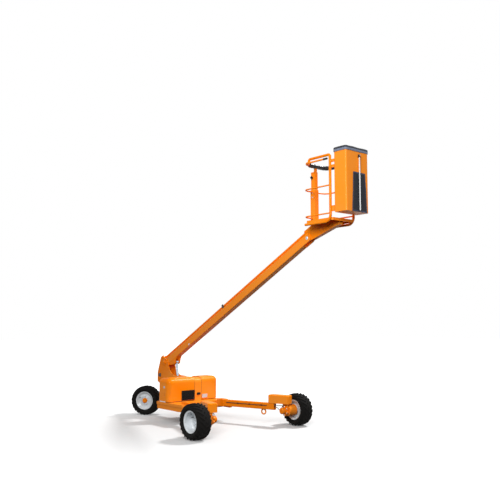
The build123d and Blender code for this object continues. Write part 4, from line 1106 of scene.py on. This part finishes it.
@dataclass
class HandGrip:
    """Moulded grip with finger rounds and an end flange."""

    rounds: int = 5
    round_steps: int = 8
    # Distance from the end and share of the radius, over the flange
    flange: Pairs = ((0, 0.9), (0.002, 1.0), (0.006, 1.0))
    rounds_from: float = 0.008
    rounds_short: float = 0.012
    mean_share: float = 0.86
    round_share: float = 0.06
    end_share: float = 0.6

    def dress(self) -> None:
        """Make the grip in place of its plain node."""
        low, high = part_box("hand_grip")
        centre = middle("hand_grip")
        radius = (high.z - low.z) / 2
        length = high.x - low.x
        profile = [(run, radius * share) for run, share in self.flange]
        steps = self.rounds * self.round_steps
        for i in range(steps + 1):
            wave = math.cos(2 * math.pi * self.rounds * i / steps)
            profile.append((self.rounds_from + (length - self.rounds_short) * i / steps,
                            radius * (self.mean_share + self.round_share * wave)))
        profile.append((length, radius * self.end_share))
        grip = Shape().lathe(Vector((low.x, centre.y, centre.z)), FORWARD, profile, 28)
        grip.make("ribbed_grip", GRIP_RUBBER, "platform", "hand_grip")


@dataclass
class MastKnob:
    """Lobed clamp knob on its stud."""

    lobes: int = 5
    steps: int = 60
    stud_share: float = 0.45
    lobe_share: float = 0.12
    # Share of the length and of the radius, from the stud outward
    profile: Pairs = ((0.4, 0.7), (0.46, 0.92), (0.6, 1.0), (0.85, 1.0), (0.95, 0.9), (1.0, 0.6))

    def dress(self) -> None:
        """Make the knob in place of its plain node."""
        low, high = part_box("mast_knob")
        centre = middle("mast_knob")
        seat = Vector((centre.x, high.y, centre.z))
        radius = (high.z - low.z) / 2
        length = high.y - low.y
        stud = radius * self.stud_share
        knob = Shape().lathe(seat, RIGHT, [(0, stud), (length / 2, stud)], 20)
        turn = RIGHT.to_track_quat("Z", "Y")
        rings = []
        for share, scale in self.profile:
            ring = []
            for angle in turns(self.steps):
                lobe = 1 - self.lobe_share + self.lobe_share * math.cos(self.lobes * angle)
                reach = radius * scale * lobe
                spot = Vector((reach * math.cos(angle), reach * math.sin(angle), share * length))
                ring.append(seat + turn @ spot)
            rings.append(ring)
        knob.rows(rings, capped=True).make("lobed_knob", BLACK_ABS, "platform", "mast_knob")


@dataclass
class Studio:
    """Pale floor, soft lamps, white surround and the photograph's camera."""

    focal_px: float = 662.2
    image_px: float = 500.0
    sensor_mm: float = 36.0
    clip_end: float = 200.0
    eye: Triple = (10.8613, -8.846, 2.266)
    heading: Pair = (-0.7616, 0.6480)
    pitch: float = 0.1042
    # Name, place, size in metres and power in watts
    boxes: tuple[tuple[str, Triple, float, float], ...] = (
        ("front_box", (8.5, -8.5, 7.0), 5.0, 1400.0), ("top_box", (2.0, 7.0, 11.0), 1.6, 1500.0))
    lit_place: Triple = (0.0, 0.0, 1.8)
    floor_half: float = 60.0
    floor_colour: str = "D2D2D2"
    floor_bounce: str = "404040"
    sky: float = 0.4
    # Distances from the part between which the floor's own glow grows
    glow_span: Pair = (2.0, 8.0)
    glow_near: float = 0.06
    glow_far: float = 0.9

    def build(self) -> None:
        """Make the camera, world, lamps and floor."""
        self.camera()
        self.world()
        self.lamps()
        self.floor()
        bpy.context.scene.view_settings.view_transform = "Standard"

    def camera(self) -> None:
        """Set the camera at the photograph's viewpoint."""
        data = bpy.data.cameras.new("photo_camera")
        data.sensor_width = self.sensor_mm
        data.lens = self.focal_px / self.image_px * self.sensor_mm
        data.clip_end = self.clip_end
        camera = stand("photo_camera", data)
        level = math.cos(self.pitch)
        aim = Vector((self.heading[0] * level, self.heading[1] * level, math.sin(self.pitch)))
        camera.location = self.eye
        camera.rotation_euler = aim.to_track_quat("-Z", "Y").to_euler()
        bpy.context.scene.camera = camera

    def world(self) -> None:
        """White for what the camera and mirrors see, softer for what lights the part."""
        world = bpy.data.worlds.new("studio")
        bpy.context.scene.world = world
        graph = Graph(world)
        strength = graph.add("ShaderNodeMapRange", {"Value": graph.seen(), "To Min": self.sky,
                                                    "To Max": 1.0}).outputs["Result"]
        sky = graph.add("ShaderNodeBackground", {"Color": linear("FFFFFF"), "Strength": strength})
        graph.add("ShaderNodeOutputWorld", {"Surface": sky.outputs["Background"]})

    def lamps(self) -> None:
        """A large soft box in front and a smaller one high behind, which throws the shadows forward."""
        for name, place, size, power in self.boxes:
            data = bpy.data.lights.new(name, "AREA")
            data.size = size
            data.energy = power
            lamp = stand(name, data)
            lamp.location = place
            lamp.visible_camera = False
            aim = Vector(self.lit_place) - Vector(place)
            lamp.rotation_euler = aim.to_track_quat("-Z", "Y").to_euler()

    def floor(self) -> None:
        """A level floor, pale where it is seen and dark for the light that it throws back."""
        half = self.floor_half
        mesh = bpy.data.meshes.new("studio_floor")
        corners = rectangle(Vector(), FORWARD * half, LEFT * half)[:-1]
        mesh.from_pydata(corners, [], [(0, 1, 2, 3)])
        floor = stand("studio_floor", mesh)
        made = bpy.data.materials.new("pale_floor")
        graph = Graph(made)
        place = graph.add("ShaderNodeTexCoord").outputs["Object"]
        reach = graph.add("ShaderNodeVectorMath", {0: place}, operation="LENGTH").outputs["Value"]
        glow = graph.add("ShaderNodeMapRange", {
            "Value": reach, "From Min": self.glow_span[0], "From Max": self.glow_span[1],
            "To Min": self.glow_near, "To Max": self.glow_far}).outputs["Result"]
        shown = graph.add("ShaderNodeBsdfPrincipled", {
            "Base Color": linear(self.floor_colour), "Roughness": 0.9, "Emission Color": linear("FFFFFF"),
            "Emission Strength": glow}).outputs["BSDF"]
        bounced = graph.add("ShaderNodeBsdfDiffuse", {"Color": linear(self.floor_bounce)}).outputs["BSDF"]
        shader = graph.add("ShaderNodeMixShader", {0: graph.seen(), 1: bounced, 2: shown}).outputs["Shader"]
        graph.add("ShaderNodeOutputMaterial", {"Surface": shader})
        mesh.materials.append(made)


@dataclass
class SmallParts:
    """Pins, welds, bolts and plates, by the group that they belong to."""

    # The tower's foot: drop below the boom's pivot, half width at its bolts and welds, start of the welds
    foot_drop: float = 0.689
    tower_half: float = 0.100
    tower_weld_half: float = 0.102
    tower_weld_from: float = 0.33
    # Its bolts: distance behind its front, height over its foot, and spacing
    tower_bolt: Triple = (0.05, 0.045, 0.11)
    plate_margin: float = 0.012
    cleat_drop: float = 0.012
    # Place of the boom's first and last weld along it, and half its height and width there
    boom_welds: Pair = (0.121, 5.177)
    boom_half: Pair = (0.074, 0.069)
    boom_plug: Pair = (-1.586, 1.70)
    # The mast's post: distance ahead of the rear of the mast's box, length and half width
    post_inset: float = 0.018
    post_length: float = 0.092
    post_half: float = 0.042
    sleeve_half: float = 0.051
    sleeve_over_rail: float = 0.029
    # Drop of the sleeve's first bolt below its top, and spacing of its bolts
    sleeve_bolt: Pair = (0.05, 0.09)
    flange_reach: float = 0.390
    flange_circle: float = 0.084
    flange_turn: float = math.radians(30)
    # The radiator's fins and, behind them, its core: depths are taken from the hood's front
    fin_count: int = 13
    fin_pitch: float = 0.0125
    fin_from: float = 0.03
    fin_depth: float = 0.011
    fin_margin: float = 0.04
    fin_size: Pair = (0.004, 0.003)
    core_depth: float = 0.014
    core_margin: float = 0.036
    core_size: float = 0.003
    # From the tower's rear, the middle and the boom's pivot; from the front, right and foot of the hood
    tower_mark: Triple = (0.095, -0.101, -0.300)
    hood_mark: Triple = (-0.160, -0.001, 0.310)

    def pins(self) -> list[PinEnds]:
        """The ends of the boom's and the tie's pins, from the root to the tip."""
        tip, root, tie = pivot("platform_level"), pivot("boom_lift"), pivot("tie_swing")
        return [PinEnds("boom_pin", "chassis", root, 0.110, 0.040, 0.016),
                PinEnds("tie_root_pin", "chassis", tie, 0.100, 0.026, 0.012),
                PinEnds("platform_pin", "boom", tip, 0.074, 0.022, 0.010, ZINC_PLATE),
                PinEnds("tie_tip_pin", "platform", tip + tie - root, 0.048, 0.022, 0.010)]

    def sleeve_top(self) -> float:
        """Height at which the mast's post leaves its sleeve."""
        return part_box("cage_rails")[1].z + self.sleeve_over_rail

    def welds(self) -> list[Welds]:
        """Beads at the tower's foot, on the boom and round the mast's post.

        Returns:
            The beads of each body.
        """
        root = pivot("boom_lift")
        low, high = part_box("tower")
        feet = [[Vector((x, y, root.z - self.foot_drop)) for x in (low.x + self.tower_weld_from, high.x)]
                for y in (-self.tower_weld_half, self.tower_weld_half)]
        ahead = (pivot("platform_level") - root).normalized()
        up = Vector((-ahead.z, 0, ahead.x)) * self.boom_half[0]
        boom = [rectangle(root + ahead * run, LEFT * self.boom_half[1], up) for run in self.boom_welds]
        post_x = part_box("platform_mast")[0].x + self.post_inset + self.post_length / 2
        post = rectangle(Vector((post_x, 0, self.sleeve_top())), FORWARD * self.post_length / 2,
                         LEFT * self.post_half)
        return [Welds("tower_welds", "chassis", feet), Welds("boom_welds", "boom", boom),
                Welds("mast_welds", "platform", [post])]

    def bolts(self) -> list[Bolts]:
        """Bolt heads and rivets.

        Returns:
            The heads of each face.
        """
        back, rise, pitch = self.tower_bolt
        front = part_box("tower")[1].x - back
        level = pivot("boom_lift").z - self.foot_drop + rise
        row = [Vector((front - pitch * i, 0.0, level)) for i in range(4)]
        low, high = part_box("blank_plate")
        inset = self.plate_margin
        rivets = [Vector((high.x, y, z)) for y in (low.y + inset, high.y - inset)
                  for z in (low.z + inset, high.z - inset)]
        king = pivot("rear_steering")
        king.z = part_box("rear_knuckle")[1].z
        drop, pitch = self.sleeve_bolt
        mast_x = middle("platform_mast").x
        mast = [Vector((mast_x, -self.sleeve_half, self.sleeve_top() - drop - pitch * i)) for i in range(2)]
        plug = Vector((self.boom_plug[0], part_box("boom_tube")[0].y, self.boom_plug[1]))
        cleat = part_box("rope_cleats")[1]
        screw = Vector((cleat.x, middle("chute_rope").y, cleat.z - self.cleat_drop))
        tower, motors = [], []
        turn = Matrix.Rotation(self.flange_turn, 3, "Y")
        for side, out, wheel in (("right", RIGHT, "left"), ("left", LEFT, "right")):
            heads = [point + out * self.tower_half for point in row]
            tower.append(Bolts(f"tower_bolts_{side}", "chassis", out, heads, 0.011))
            # A wheel's motor shows its flange to the middle of the part
            seat = pivot(f"{wheel}_wheel_spin") + out * self.flange_reach
            heads = [seat + turn @ (point - seat) for point in circle(seat, out, self.flange_circle, 6)]
            motors.append(Bolts(f"{wheel}_motor_bolts", "chassis", out, heads, 0.009))
        return [*tower,
                Bolts("plate_rivets", "tank_lid", FORWARD, rivets, 0.003),
                Bolts("kingpin_bolt", "rear_steer", UP, [king], 0.014),
                Bolts("mast_bolts", "platform", RIGHT, mast, 0.009),
                Bolts("boom_plug", "boom", RIGHT, [plug], 0.014),
                Bolts("cleat_screws", "platform", FORWARD, [screw], 0.006), *motors]

    def plates(self) -> list[Plates]:
        """The blank plates on the tower and the hood, and the radiator's core.

        Returns:
            The plates of each place.
        """
        hood_low, hood_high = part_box("engine_hood")
        low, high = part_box("radiator_grille")
        core = middle("radiator_grille")
        size = high - low
        fin = (self.fin_size[0], size.y - self.fin_margin, self.fin_size[1])
        first = Vector((hood_high.x - self.fin_depth, core.y, low.z + self.fin_from))
        fins = [(first + UP * (self.fin_pitch * i), fin) for i in range(self.fin_count)]
        backing = (Vector((hood_high.x - self.core_depth, core.y, core.z)),
                   (self.core_size, size.y - self.core_margin, size.z - self.core_margin))
        on_tower = Vector((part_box("tower")[0].x, 0, pivot("boom_lift").z)) + Vector(self.tower_mark)
        on_hood = Vector((hood_high.x, hood_low.y, hood_low.z)) + Vector(self.hood_mark)
        return [Plates("tower_plate", "chassis", DARK_PAINT_AND_SHADE, [(on_tower, (0.110, 0.004, 0.080))]),
                Plates("hood_mark", "engine_lid", GREY_ENAMEL, [(on_hood, (0.046, 0.003, 0.046))]),
                Plates("radiator_core", "engine_lid", BLACK_ABS, [backing] + fins)]


def fittings() -> list[Fitting]:
    """Everything that is fitted to the nodes.

    Returns:
        The fittings, in the order in which they are made.
    """
    small = SmallParts()
    return [Tyre("left", 1.0), Tyre("right", -1.0), Tyre("rear", -1.0),
            Wheel("left_wheel", 1.0, -0.040), Wheel("right_wheel", -1.0, -0.040),
            Wheel("rear_wheel", -1.0, 0.075),
            *small.pins(), *small.welds(), *small.bolts(), LegPipes("left", 1), LegPipes("right", -1),
            *small.plates(), FloorTread(), LiftGland(), HoodSeals(),
            BackRest(), RimPad(), ChuteFlap(), ChuteRope(), HandGrip(), MastKnob()]


def main() -> None:
    """Dress the part and build the studio."""
    logging.basicConfig(level=logging.INFO)
    dress_nodes()
    for fitting in fittings():
        fitting.dress()
    Studio().build()


if __name__ == "__main__":
    main()
